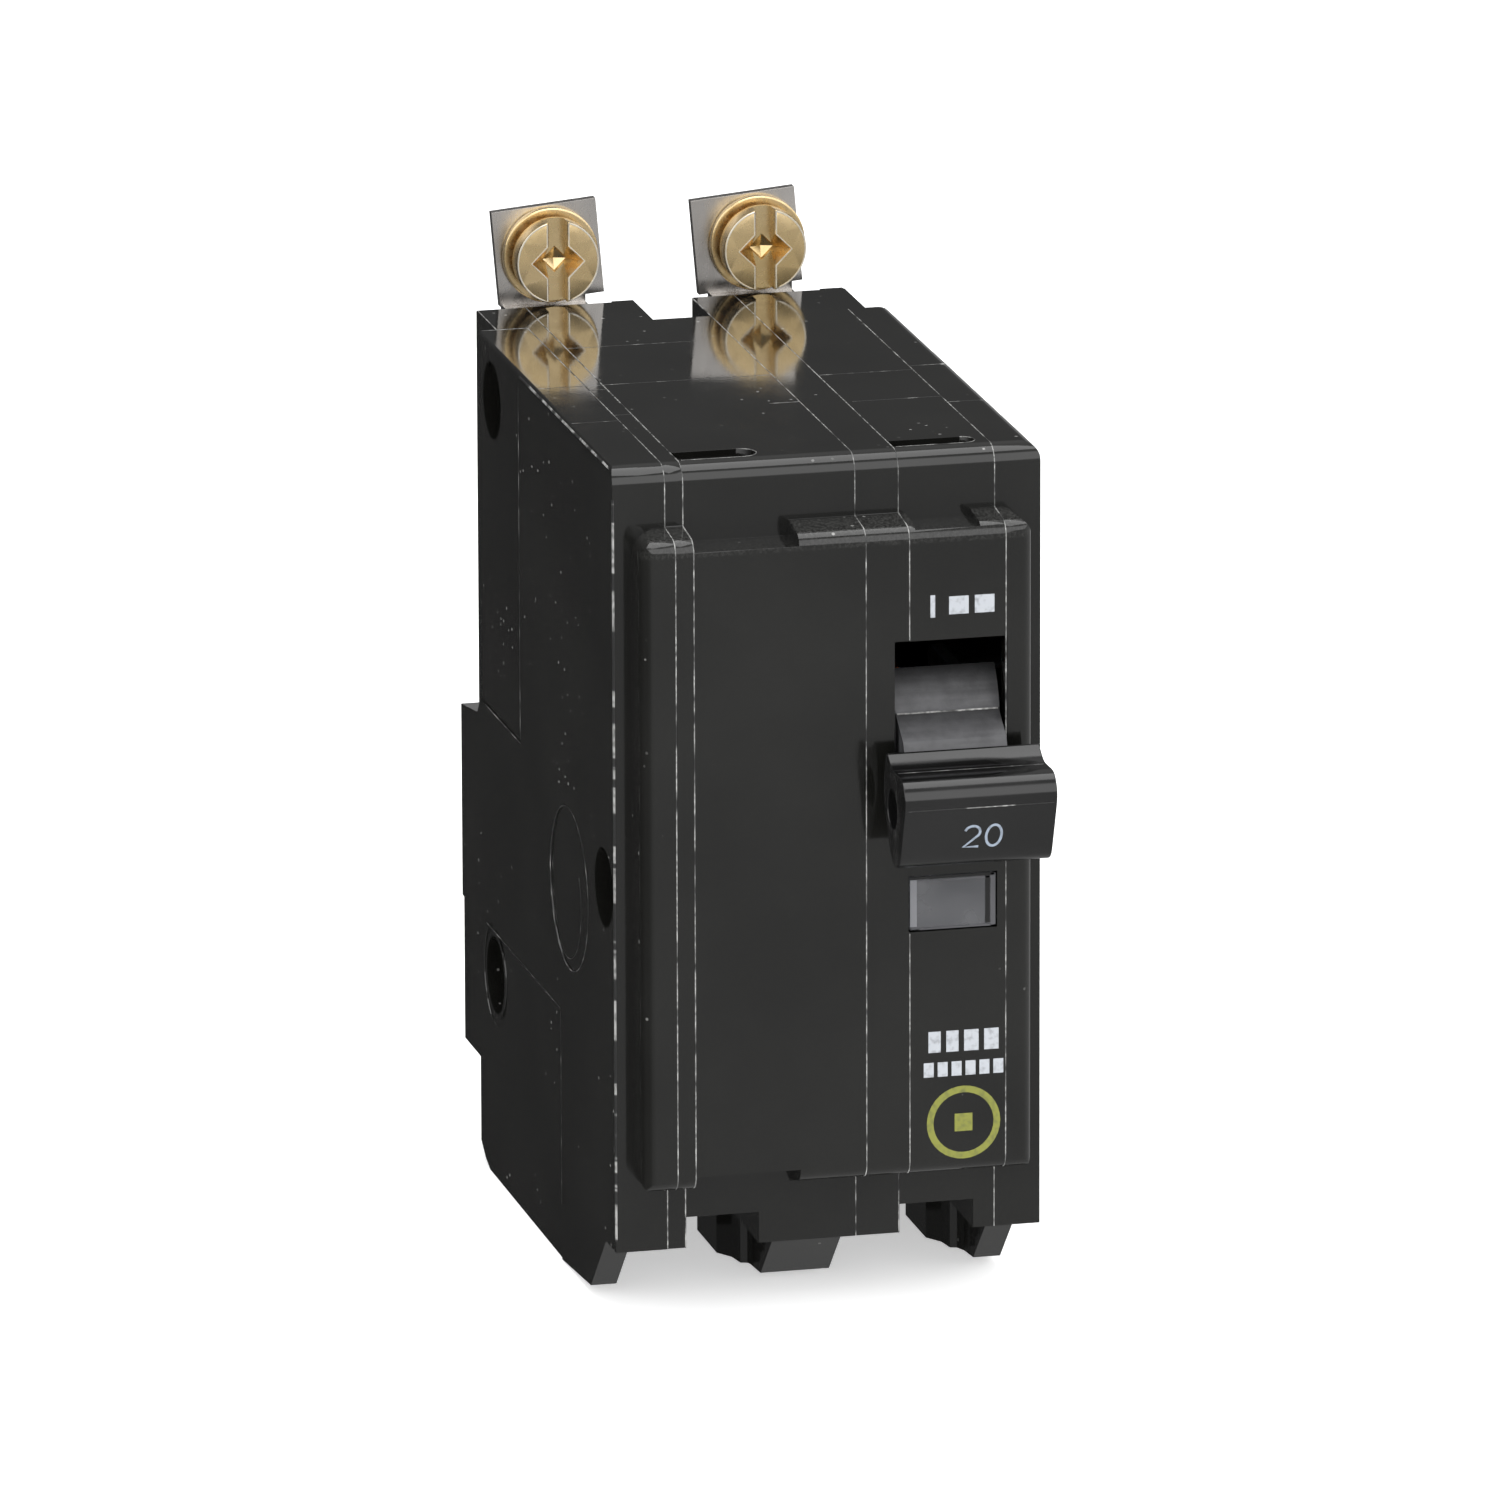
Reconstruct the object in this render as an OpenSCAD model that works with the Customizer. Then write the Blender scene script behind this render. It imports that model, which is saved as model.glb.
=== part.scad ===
// Two-pole bolt-on miniature circuit breaker, with its mechanism.
// Drawn with X to the right, Y to the rear, Z up, and the front flange at Y = 0.

/* [Case] */
// Width of one pole, which is also the pitch of the bus tabs
pole_w = 19.05; // [19.0:0.01:19.1]
// Height of the front flange
case_h = 70.3; // [69.9:0.1:70.8]
// Distance from the flange to the rear of the lower ledge
ledge_y = 59.7; // [59.3:0.1:60.1]
// How far the raised front block stands out of the flange
block_out = 4; // [3.8:0.1:4.1]
// Drop of the skids below the flange
skid_drop = 6.6; // [6.3:0.1:7]
// Thickness of the outer walls
wall = 2.1; // [1.9:0.1:2.2]
// Depth of the recessed side panels
panel_in = 0.15; // [0.1:0.05:0.3]
// Radius of the recesses around the rivets
recess_r = 3.5; // [3:0.1:3.6]

/* [Handle] */
// Radius of the hood that closes the window
hood_r = 7.8; // [7.5:0.1:7.9]
// Radius of the tie-bar hole through the grip
tie_r = 1.75; // [1.2:0.05:1.9]
// Width of the grip
grip_w = 13.6; // [12:0.1:13.8]

/* [Bus screws] */
// Width of a bus tab
tab_w = 9.6; // [9:0.1:9.8]
// Height of a bus tab
tab_h = 8.7; // [8:0.1:9]
// Tilt of the tabs about their screws, in degrees
tab_tilt = 5; // [0:1:6]
// Radius of the screw's head
head_r = 3.8; // [3.4:0.1:3.9]
// Radius of the screw's shank
stud_r = 2.4; // [2.2:0.05:2.4]
// Rear end of the shank
stud_end = 70; // [68:0.5:72]

/* [Mechanism] */
// Swing of the contact arm between open and closed, in degrees
arm_swing = 8; // [6:0.5:8]
// Number of turns of the toggle spring
spring_turns = 9; // [6:1:11]
// Number of arc plates
plate_count = 6; // [4:1:6]

/* [Hidden] */
$fn = 48;

// Overall box
width = 2 * pole_w;
front_y = -12.55;
rear_y = 60;
mid_y = (front_y + stud_end) / 2;

// Seams between the moulded layers
seam_1 = 4.63;
seam_2 = 6.24;
seam_3 = 21.52;
seam_4 = 25.39;
seam_5 = 33.99;
web_l = 19.2;
web_r = 23.2;

// Raised front block
block_l = 1.6;
block_r = 36.5;
block_z0 = 5.45;
block_z1 = 64.9;
block_edge = 1.35;
block_corner = 2.2;
vent_depth = 0.7;

// Handle window, lens and wire pockets
win = [24.07, 34.1, 37.6, 54.4];
lens = [25.3, 33.2, 28.3, 33.35];
pocket_1 = [seam_2, 12.8];
pocket_2 = [25.46, 32.1];
pocket_back = 22;
leg_z = -5.85;
pocket_top = 4.6;

// Pivots, each [Y, Z]
handle_at = [5.1, 46];
arm_at = [18, 44];
cradle_at = [15.5, 58];
armature_at = [40, 40];
trip_at = [43.5, 24];
flag_at = [20, 23];
rivets_at = [[47.1, 65.2], [47.1, 12.3], [3.9, 32]];
shaft_r = 1.6;
bar_r = 1.5;
rivet_r = 1.4;
flag_pin_r = 0.8;
fit = 0.06;

// Bus screw and lug positions
screw_x = 9.1;
screw_z = 74.4;
tab_x = [9, 8.25];
tab_z = 74.5;
tab_y = 63;
tab_t = 0.9;
neck_r = 2;
neck_end = 64.2;
lug_x = 9.7;
lug_y = 14;
cal_z = 8.5;

// Planes of the mechanism across one pole
cradle_x = 4.8;
cradle_t = 1.2;
spring_x = 7.5;
arm_x = 9.0;
arm_t = 1.8;

black = "#1b1b1d";
grey_black = "#26262a";
tin = "#b9b7b0";
brass = "#c9a24a";
steel = "#a9abb0";
copper = "#b87348";

function shift(p) = p * pole_w;
function cavity_l(p) = p == 0 ? wall : web_r;
function cavity_r(p) = p == 0 ? web_l : width - wall;
function on_circle(c, r, a) = [c[0] + r * cos(a), c[1] + r * sin(a)];

// Moves the drawing to the middle of the box, standing on its skids
module place() translate([-width / 2, -mid_y, skid_drop]) children();

// A profile drawn as [Y, Z], extruded along X
module slab(x0, x1) translate([x0, 0, 0]) rotate([90, 0, 90]) linear_extrude(x1 - x0) children();
module block_of(x0, x1, y0, y1, z0, z1) translate([x0, y0, z0]) cube([x1 - x0, y1 - y0, z1 - z0]);
module rod_x(at, r, x0, x1) translate([x0, at[0], at[1]]) rotate([0, 90, 0]) cylinder(h = x1 - x0, r = r);
module rod_y(x, z, r, y0, y1) translate([x, y0, z]) rotate([-90, 0, 0]) cylinder(h = y1 - y0, r = r);
module rod_z(x, y, r, z0, z1) translate([x, y, z0]) cylinder(h = z1 - z0, r = r);

// ---- Outlines of the moulded layers ----

module flange_edge() translate([1.7, case_h - 1.7]) circle(r = 1.7);

// Inner layers, full depth
module core_outline() {
  flange_edge();
  polygon([
    [0, 0], [0, case_h - 1.7], [1.7, case_h], [rear_y, case_h], [rear_y, 3],
    [53.4, 3], [53.4, -2], [pocket_back, -2], [pocket_back, 0]
  ]);
}

// Side covers, stepped in at the upper rear
module cover_outline(step_y) {
  flange_edge();
  polygon([
    [0, 0], [0, case_h - 1.7], [1.7, case_h], [step_y, case_h], [step_y, 36],
    [step_y + 0.8, 35.1], [ledge_y, 34.2], [ledge_y, 3], [53.4, 3], [53.4, -2],
    [pocket_back, -2], [pocket_back, 0]
  ]);
}

// Skid under a side cover or under the middle leg
module skid_outline() {
  polygon([
    [3.8, 1], [3.8, 0], [9.7, -5.75], [20.9, -skid_drop], [49.8, -skid_drop],
    [51.6, -6], [53.4, -4.8], [53.4, 1]
  ]);
}

// The stepped left side of a pole's leg, beside its wire room
module leg_steps(p, x0, x1) intersection() {
  translate([shift(p), 0, leg_z]) linear_extrude(1 - leg_z) polygon([
    [15.6, 10.4], [15.4, 12.3], [15, 13.3], [14.4, 13.5], [14.1, 15.4], [13.1, 17],
    [13.1, 24.3], [16, 24.3], [16, 10.4]
  ]);
  block_of(x0, x1, 9, 25, -skid_drop, 1);
}

// The part of a pole behind a side cover's step
module step_fill(step_y) {
  polygon([
    [step_y, 36], [step_y + 0.8, 35.1], [ledge_y, 34.2], [rear_y, 34.2],
    [rear_y, case_h], [step_y, case_h]
  ]);
}

// Hollow for the mechanism, down to the floor over the load strap
module cavity_outline(back_y) {
  polygon([
    [wall, 6.2], [wall, case_h - wall], [back_y, case_h - wall], [back_y, 36], [57.8, 33],
    [57.8, 5.2], [50.5, 5.2], [50.5, 0.2], [24, 0.2], [24, 6.2]
  ]);
  translate([-2, 9]) square([wall + 2.5, 53.2]);
}

// Raised front block with rounded edges, over the whole width
module front_block() {
  intersection() {
    rotate([90, 0, 0]) linear_extrude(block_out + 1) union() {
      for (x = [block_l + block_corner, block_r - block_corner])
        for (z = [block_z0 + block_corner, block_z1 - block_corner])
          translate([x, z]) circle(r = block_corner);
      translate([block_l + block_corner, block_z0])
        square([block_r - block_l - 2 * block_corner, block_z1 - block_z0]);
      translate([block_l, block_z0 + block_corner])
        square([block_r - block_l, block_z1 - block_z0 - 2 * block_corner]);
    }
    slab(0, width) union() {
      for (z = [block_z0 + 0.8 + block_edge, block_z1 - 0.3 - block_edge])
        translate([-block_out + block_edge, z]) circle(r = block_edge);
      polygon([
        [1, block_z0], [0, block_z0], [-block_out + block_edge, block_z0 + 0.8],
        [-block_out, block_z0 + 0.8 + block_edge], [-block_out, block_z1 - 0.3 - block_edge],
        [-block_out + block_edge, block_z1 - 0.3], [0, block_z1], [1, block_z1]
      ]);
    }
    linear_extrude(case_h) union() {
      for (x = [block_l + block_edge, block_r - block_edge])
        translate([x, -block_out + block_edge]) circle(r = block_edge);
      translate([block_l + block_edge, -block_out])
        square([block_r - block_l - 2 * block_edge, block_out + 1]);
      translate([block_l, -block_out + block_edge])
        square([block_r - block_l, block_out - block_edge + 1]);
    }
  }
}

module block_part(x0, x1) intersection() {
  front_block();
  block_of(x0, x1, -10, 0.5, 0, case_h);
}

// Holes that every layer shares: rivets, handle shaft, trip bar
module through_holes(x0, x1) {
  for (at = rivets_at) rod_x(at, rivet_r + fit, x0, x1);
}
module bearing_holes(x0, x1) {
  rod_x(handle_at, shaft_r + fit, x0, x1);
  rod_x(trip_at, bar_r + fit, x0, x1);
}

// Slot for the line strap through the rear of the top wall
module strap_slot(p) translate([shift(p), 0, 0]) {
  block_of(4.75, 12.55, 56, 61, 68.8, 69.9);
  block_of(4.75, 12.55, 56, 57.1, 66, 69);
}

// Room for a wire, its notch in the flange, and the holes for strap and lug screw
module wire_room(p, xs) {
  top = p == 0 ? 2.8 : 2.6;
  block_of(xs[0], xs[1], 2, pocket_back, -1, pocket_top);
  block_of(xs[0], xs[1], -1, 3, -1, top);
  translate([shift(p), 0, 0]) {
    block_of(7.1, 12.3, pocket_back - 1, 25, 3.3, pocket_top);
    rod_z(lug_x, lug_y, 2.4, 4, 7);
  }
}

// ---- Moulded layers ----

module side_bosses(x0, x1) {
  for (i = [0, 1]) rod_x(rivets_at[i], recess_r + 1.1, x0, x1);
  intersection() {
    rod_x(rivets_at[2], recess_r + 1.1, x0, x1);
    block_of(x0, x1, 1, 12, 20, 40);
  }
  rod_x(handle_at, 3, x0, x1 - 0.2);
  rod_x(trip_at, 3, x0, x1 - 0.2);
}

// Quarter ellipse between a side and the top, with edge = [width, drop]
function top_edge(edge) = [for (a = [0:15:90])
  [edge[0] * (1 - cos(a)), case_h - edge[1] * (1 - sin(a))]];

// One side cover, drawn as the left one with its outer face at X = 0
module side_cover(step_y, depth, leg, edge) {
  difference() {
    union() {
      difference() {
        slab(0, depth) cover_outline(step_y);
        slab(wall, depth + 1) cavity_outline(step_y - 2.1);
      }
      intersection() {
        slab(wall - 0.5, depth) cover_outline(step_y);
        side_bosses(wall - 0.5, depth);
      }
      slab(leg[0], leg[1]) skid_outline();
    }
    // recessed panels at the upper and lower rear
    block_of(-1, panel_in, 36, 61, 36.6, case_h + 1);
    block_of(-1, panel_in, 20.8, 61, -8, 16.4);
    // rivet recesses, with a ring around the lower one
    for (at = rivets_at) rod_x(at, recess_r, -1, 3.4);
    difference() {
      rod_x(rivets_at[1], recess_r + 1.2, -1, panel_in + 0.15);
      rod_x(rivets_at[1], recess_r + 0.5, -2, panel_in + 1);
    }
    rod_x([17.3, 28.3], 7.3, -1, 0.12);
    through_holes(-1, depth + 1);
    // bearings for the handle shaft and the trip bar
    rod_x(handle_at, shaft_r + fit, 2.2, depth + 1);
    rod_x(trip_at, bar_r + fit, 2.2, depth + 1);
    // softened top edge
    rotate([90, 0, 0]) translate([0, 0, -65]) linear_extrude(70) polygon(concat(
      [[-1, case_h - edge[1]]], top_edge(edge), [[edge[0], case_h + 1], [-1, case_h + 1]]
    ));
  }
}

module left_cover() color(black) place() union() {
  side_cover(52.4, seam_1, [0, 2.3], [0.4, 1]);
  difference() {
    block_part(0, seam_1);
    block_of(wall, seam_1 + 1, -2, 1, 9, 62.2);
    rod_x(rivets_at[2], recess_r, -1, 3.4);
  }
}

module pole_1_frame() color(black) place() {
  difference() {
    union() {
      slab(seam_1, seam_2) core_outline();
      slab(1.7, seam_1) step_fill(52.4);
      block_part(seam_1, seam_2);
    }
    slab(seam_1 - 0.3, seam_2 + 1) cavity_outline(57.8);
    through_holes(2, seam_2 + 1);
    strap_slot(0);
  }
}

module pole_1_case() color(black) place() {
  difference() {
    union() {
      slab(seam_2, seam_3) core_outline();
      block_part(seam_2, seam_3);
      slab(15.3, seam_3) skid_outline();
      leg_steps(0, seam_2, seam_3);
      block_of(14.2, 16.2, 59.5, 60.4, 50, case_h);
    }
    slab(seam_2 - 1, 14.9) cavity_outline(57.8);
    slab(14.8, web_l) cavity_outline(50.6);
    wire_room(0, [seam_2 - 1, pocket_1[1]]);
    // relief in the back between the poles
    block_of(16.2, seam_3 + 1, 52.7, 62, 36, case_h + 1);
    // lower ends of the block's inset panel
    block_of(seam_2 - 1, 15.6, -9, 0, 63.5, 66);
    block_of(seam_2 - 1, 15.6, -9, 0, 5, 7.55);
    // vent recess with a round end
    block_of(seam_2 - 1, 12.1, 1.9, 4.7, case_h - vent_depth, case_h + 1);
    rod_z(12.1, 3.3, 1.4, case_h - vent_depth, case_h + 1);
    through_holes(seam_2 - 1, seam_3 + 1);
    bearing_holes(web_l - 1, seam_3 + 1);
    strap_slot(0);
  }
}

// Cuts for the handle window and the lens seat
module front_windows() {
  block_of(win[0], win[1], -9, wall + 1, win[2], win[3]);
  block_of(lens[0], lens[1], -9, -1.9, lens[2], lens[3]);
}

module pole_2_base() color(black) place() {
  difference() {
    union() {
      slab(seam_3, seam_4) core_outline();
      block_part(seam_3, seam_4);
    }
    slab(web_r, seam_4 + 1) cavity_outline(57.8);
    front_windows();
    through_holes(seam_3 - 1, seam_4 + 1);
    bearing_holes(seam_3 - 1, web_r + 1);
    strap_slot(1);
  }
}

module pole_2_frame() color(black) place() {
  difference() {
    union() {
      slab(seam_4, seam_5) core_outline();
      slab(seam_5, 35.6) step_fill(52.4);
      block_part(seam_4, seam_5);
      leg_steps(1, seam_4, seam_5);
      block_of(33.4, 35.5, 59.5, 60.4, 50, case_h);
    }
    slab(seam_4 - 1, seam_5) cavity_outline(57.8);
    wire_room(1, pocket_2);
    front_windows();
    block_of(26, 31.8, -9, 0, 64.2, 66);
    // vent recess with a round end
    block_of(seam_4 - 1, 31.9, 2, 4.05, case_h - vent_depth, case_h + 1);
    rod_z(31.9, 3.02, 1.02, case_h - vent_depth, case_h + 1);
    through_holes(seam_4 - 1, 36);
    strap_slot(1);
  }
}

module right_cover() color(black) place() union() {
  leg_steps(1, seam_5, width);
  difference() {
    translate([width, 0, 0]) mirror([1, 0, 0])
      side_cover(52.4, width - seam_5, [1.05, 3.5], [1.3, 1.3]);
    front_windows();
  }
  difference() {
    block_part(seam_5, width);
    block_of(seam_5 - 1, width - wall, -2, 1, 9, 62.2);
    front_windows();
    rod_x(rivets_at[2], recess_r, width - 3.4, width + 1);
  }
}

module case_rivets() color(steel) place() {
  for (at = rivets_at) difference() {
    union() {
      rod_x(at, rivet_r, 2.8, width - 2.8);
      rod_x(at, 2.5, 2.8, 3.4);
      rod_x(at, 2.5, width - 3.4, width - 2.8);
    }
    rod_x(at, 0.8, 2, 6);
    rod_x(at, 0.8, width - 6, width - 2);
  }
}

module indicator_lens() color("#8d9196") place() {
  block_of(lens[0] + 0.05, lens[1] - 0.05, -3.85, -2.7, lens[2] + 0.05, lens[3] - 0.05);
  block_of(lens[0] + 0.8, lens[1] - 0.5, -2.8, -2.1, lens[2] + 0.6, lens[3] - 0.45);
}

// ---- Handle and what turns with it ----

module grip_outline() polygon([
  [-5.9, 45.4], [-6.9, 44.6], [-7.6, 44.2], [-8.3, 44], [-10.1, 44.05], [-11, 44.05],
  [-11.7, 43.75], [-12.2, 43.2], [-12.5, 42.6], [front_y, 42], [-12.4, 41.3], [-11.5, 38.8],
  [-10.7, 36.6], [-10.3, 36.1], [-9.7, 35.75], [-8.7, 35.65], [-8, 35.85], [-7.5, 36.3],
  [-6.6, 37.5], [-5.5, 39.9], [-4.85, 41.5], [-5.1, 43.4]
]);

module neck_outline() polygon([
  [-1.6, 49.1], [-2.2, 48.3], [-2.8, 47.5], [-4, 46.6], [-5.7, 45.5], [-5.6, 43],
  [-5.2, 41], [-3.6, 40], [-1, 40.9], [4, 44], [4, 48]
]);

// Two cheeks behind the pivot that drive the contact arm
module crank_outline() union() {
  translate(handle_at) circle(r = 3.4);
  translate(on_circle(handle_at, 8, 17)) circle(r = 1.2);
  polygon([
    on_circle(handle_at, 3.2, 100), on_circle(handle_at, 8.6, 24),
    on_circle(handle_at, 8.6, 10), on_circle(handle_at, 3.2, -66)
  ]);
}

module handle() color(grey_black) place() {
  mid = (win[0] + win[1]) / 2;
  difference() {
    union() {
      slab(mid - grip_w / 2 + 0.52, mid + grip_w / 2 + 0.52) grip_outline();
      slab(mid - 4.6, mid + 4.6) neck_outline();
      slab(mid - 4.7, mid + 4.7) intersection() {
        translate(handle_at) circle(r = hood_r);
        translate([-5, 30]) square([13.5, 32]);
      }
      for (x = [mid - 3.6, mid + 2.4]) slab(x, x + 1.2) crank_outline();
    }
    rod_x(handle_at, shaft_r + 0.02, 20, 40);
    rod_x([-7.9, 40.6], tie_r, 20, 40);
  }
}

module handle_shaft() color(steel) place() rod_x(handle_at, shaft_r, 2.5, width - 2.5);

module pole_1_crank() color(grey_black) place() difference() {
  union() {
    rod_x(handle_at, 4, 6.6, 14);
    for (x = [7.2, 12.2]) slab(x, x + 1.2) crank_outline();
  }
  rod_x(handle_at, shaft_r + 0.02, 5, 16);
}

// ---- Trip bar and flag ----

module trip_bar() color("#3a3a40") place() {
  rod_x(trip_at, bar_r, 2.5, width - 2.5);
  for (p = [0, 1]) slab(shift(p) + 8.8, shift(p) + 10.8)
    polygon([[42.4, 25], [40.9, 19.6], [41.6, 18.8], [42.6, 19.2], [44.6, 23.4]]);
}

// A plate behind the window, on an arm that swings about its pin
module trip_flag() color("#d8571f") place() difference() {
  union() {
    block_of(26.2, 32.6, -1.6, -0.8, 21.5, 33.4);
    slab(28.6, 30.2) polygon([[-1, 21.5], [-1, 23.6], [flag_at[0], 24.7], [flag_at[0], 21.3]]);
    rod_x(flag_at, 1.7, 28, 30.8);
  }
  rod_x(flag_at, flag_pin_r + fit, 27, 32);
}

module flag_pin() color(steel) place() rod_x(flag_at, flag_pin_r, web_r, width - wall);

// ---- Line side ----

module line_strap(p) color(tin) place() translate([shift(p), 0, 0]) difference() {
  union() {
    translate([tab_x[p], tab_y, tab_z]) rotate([0, -tab_tilt, 0])
      translate([-tab_w / 2, 0, -tab_h / 2]) cube([tab_w, tab_t, tab_h]);
    block_of(4.85, 12.45, tab_y, tab_y + tab_t, 68.9, 71.8);
    block_of(4.85, 12.45, 56.1, tab_y + tab_t, 68.9, 69.8);
    block_of(4.85, 12.45, 56.1, 57, 61.5, 69.8);
    block_of(5.6, 12.45, 40, 57, 61.5, 62.4);
  }
  rod_y(screw_x, screw_z, stud_r + 0.1, 60, 66);
}

module line_screw(p) color(brass) place() translate([shift(p), 0, 0]) difference() {
  union() {
    rod_y(screw_x, screw_z, head_r - 0.25, 59.3, 59.7);
    rod_y(screw_x, screw_z, head_r, 59.55, 61.2);
    rod_y(screw_x, screw_z, head_r - 0.7, 61.1, 62.1);
    rod_y(screw_x, screw_z, neck_r, 62, neck_end);
    rod_y(screw_x, screw_z, stud_r, neck_end, stud_end);
  }
  block_of(screw_x - 0.85, screw_x + 0.85, 59, 60.8, screw_z - 5, screw_z + 5);
  translate([screw_x, 59, screw_z]) rotate([0, 45, 0])
    translate([-1.65, 0, -1.65]) cube([3.3, 2, 3.3]);
}

module screw_collar(p) color(brass) place() translate([shift(p), 0, 0]) difference() {
  rod_y(screw_x, screw_z, 4.35, 62.1, 62.9);
  rod_y(screw_x, screw_z, neck_r + 0.02, 61, 64);
}

module fixed_contact(p) color("#d6d3cb") place() rod_z(shift(p) + arm_x + arm_t / 2, 43.5, 2.2, 60.5, 61.5);

// ---- Contact arm, drawn closed and turned open about its pin ----

module opened() translate([0, arm_at[0], arm_at[1]]) rotate([-arm_swing, 0, 0])
  translate([0, -arm_at[0], -arm_at[1]]) children();

module contact_arm(p) color(copper) place() translate([shift(p), 0, 0]) opened() difference() {
  union() {
    slab(arm_x, arm_x + arm_t) union() {
      translate(arm_at) circle(r = 2.4);
      polygon([[19, 41.8], [43.6, 57], [46, 58.3], [46, 59.2], [40.4, 59.2], [17.2, 46.3]]);
    }
    block_of(arm_x - 1.5, arm_x + arm_t + 1.5, 40.8, 46, 58.3, 59.2);
    rod_x([31, 51.6], 0.7, 6.4, arm_x + 0.1);
  }
  rod_x(arm_at, 1.05, arm_x - 1, arm_x + arm_t + 1);
}

module moving_contact(p) color("#d6d3cb") place() translate([shift(p), 0, 0]) opened()
  rod_z(arm_x + arm_t / 2, 43.5, 2.2, 59.2, 60.42);

module arm_pin(p) color(steel) place() rod_x(arm_at, 1, cavity_l(p), cavity_r(p));

// Toggle spring between the cradle's stud and the arm's stud, swept along one path
spring_r = 1.2;
wire_r = 0.22;
loop_r = 1;
spring_y = 31.93;
stud_lo = 49.72;
stud_hi = 62;
coil_lo = 51.6;
coil_hi = 60.1;
wire_sides = 6;

function lower_loop() = [for (a = [-200:25:80]) [0, loop_r * cos(a), stud_lo + loop_r * sin(a)]];
function coil_path() = [for (i = [0:spring_turns * 14])
  let (t = i / (spring_turns * 14), a = 90 + 360 * spring_turns * t)
  [spring_r * cos(a), spring_r * sin(a), coil_lo + (coil_hi - coil_lo) * t]];
function upper_loop() = [for (a = [-80:25:200]) [0, -loop_r * cos(a), stud_hi + loop_r * sin(a)]];
spring_path = concat(lower_loop(), coil_path(), upper_loop());

function unit(v) = v / norm(v);
function heading(path, i) = unit(path[min(i + 1, len(path) - 1)] - path[max(i - 1, 0)]);
function square_to(n, t) = unit(n - (n * t) * t);
// Carries one side direction along the path, so that the wire doesn't twist
function sides_along(path, i, n) = i == len(path) ? [] :
  let (m = square_to(n, heading(path, i))) concat([m], sides_along(path, i + 1, m));

module wire(path, r, start_side) {
  side = sides_along(path, 0, start_side);
  count = len(path);
  ring = [for (i = [0:count - 1]) let (t = heading(path, i), u = side[i], v = cross(t, u))
    for (k = [0:wire_sides - 1])
      path[i] + r * (cos(360 * k / wire_sides) * u + sin(360 * k / wire_sides) * v)];
  skin = [for (i = [0:count - 2]) for (k = [0:wire_sides - 1]) let (n = (k + 1) % wire_sides)
    [i * wire_sides + k, (i + 1) * wire_sides + k, (i + 1) * wire_sides + n, i * wire_sides + n]];
  cap = [for (k = [0:wire_sides - 1]) k];
  polyhedron(ring, concat([cap], skin, [[for (k = [wire_sides - 1:-1:0]) (count - 1) * wire_sides + k]]));
}

module toggle_spring(p) color("#c3c5c9") place() translate([shift(p) + spring_x, spring_y, 0])
  wire(spring_path, wire_r, [1, 0, 0]);

// ---- Cradle, armature and trip unit ----

module cradle(p) color(steel) place() translate([shift(p), 0, 0]) difference() {
  union() {
    slab(cradle_x, cradle_x + cradle_t) union() {
      translate(cradle_at) circle(r = 2.6);
      translate([spring_y, 62]) circle(r = 1.8);
      polygon([
        [15, 60.5], [31.5, 63.7], [33.5, 61], [30, 59.4], [27, 56], [38.3, 47.9], [38.3, 46.4],
        [37, 46.2], [23, 52.6], [15.2, 55.5]
      ]);
    }
    rod_x([spring_y, 62], 0.7, cradle_x + 0.1, 8.3);
  }
  rod_x(cradle_at, 1.05, 3, 8);
}

module cradle_pin(p) color(steel) place() rod_x(cradle_at, 1, cavity_l(p), cavity_r(p));

module armature(p) color("#8f9297") place() translate([shift(p), 0, 0]) difference() {
  union() {
    block_of(4.8, 14.1, 38.5, 39.5, 38, 47.2);
    block_of(5.6, 13.9, 38.5, 39.5, 14, 38.5);
    rod_x(armature_at, 1.8, 7, 12.6);
  }
  rod_x(armature_at, 0.95, 3, 16);
  block_of(8.2, 11.4, 35, 43, 43, 50);
}

module armature_pin(p) color(steel) place() rod_x(armature_at, 0.9, cavity_l(p), cavity_r(p));

module magnet_yoke(p) color("#8f9297") place() translate([shift(p), 0, 0]) {
  block_of(5.4, 14.1, 32, 33.2, 16, 32);
  block_of(5.4, 6.6, 32, 36.5, 16, 32);
  block_of(12.9, 14.1, 32, 36.5, 16, 32);
}

module bimetal(p) color("#b08c58") place() translate([shift(p), 0, 0]) {
  block_of(7.8, 11.8, 33.2, 34.2, 4.5, 37);
  block_of(7.8, 11.8, 30.4, 34.2, 4.5, 5.4);
}

// Flexible braid from the top of the bimetal to the arm's pivot end
module braid(p) color(copper) place() translate([shift(p) + 9.9, 0, 0]) {
  translate([0, 28.7, 37]) rotate([0, 90, 0]) rotate_extrude(angle = 90, start = 90)
    translate([5, 0]) circle(r = 0.8, $fn = 24);
  rod_y(0, 42, 0.8, 24.5, 28.7);
}

module calibration_screw(p) color(brass) place() translate([shift(p), 0, 0]) difference() {
  union() {
    rod_y(lug_x, cal_z, 1.2, 34.3, 43.6);
    rod_y(lug_x, cal_z, 2, 43.5, 44.7);
  }
  block_of(lug_x - 3, lug_x + 3, 44.1, 46, cal_z - 0.3, cal_z + 0.3);
}

// ---- Load side ----

module load_strap(p) color(tin) place() translate([shift(p), 0, 0]) difference() {
  union() {
    block_of(7.2, 12.2, 5, 42.2, 3.4, 4.5);
    block_of(7.2, 12.2, 41.2, 42.2, 3.4, 11.5);
  }
  rod_y(lug_x, cal_z, 1.25, 40, 43);
  rod_z(lug_x, lug_y, 2.06, 3, 5);
}

module lug_clamp(p) color(steel) place() translate([shift(p), 0, 0]) difference() {
  block_of(7, 12.4, 9, 19, 2.2, 3.2);
  rod_z(lug_x, lug_y, 2.03, 1, 4);
}

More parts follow.
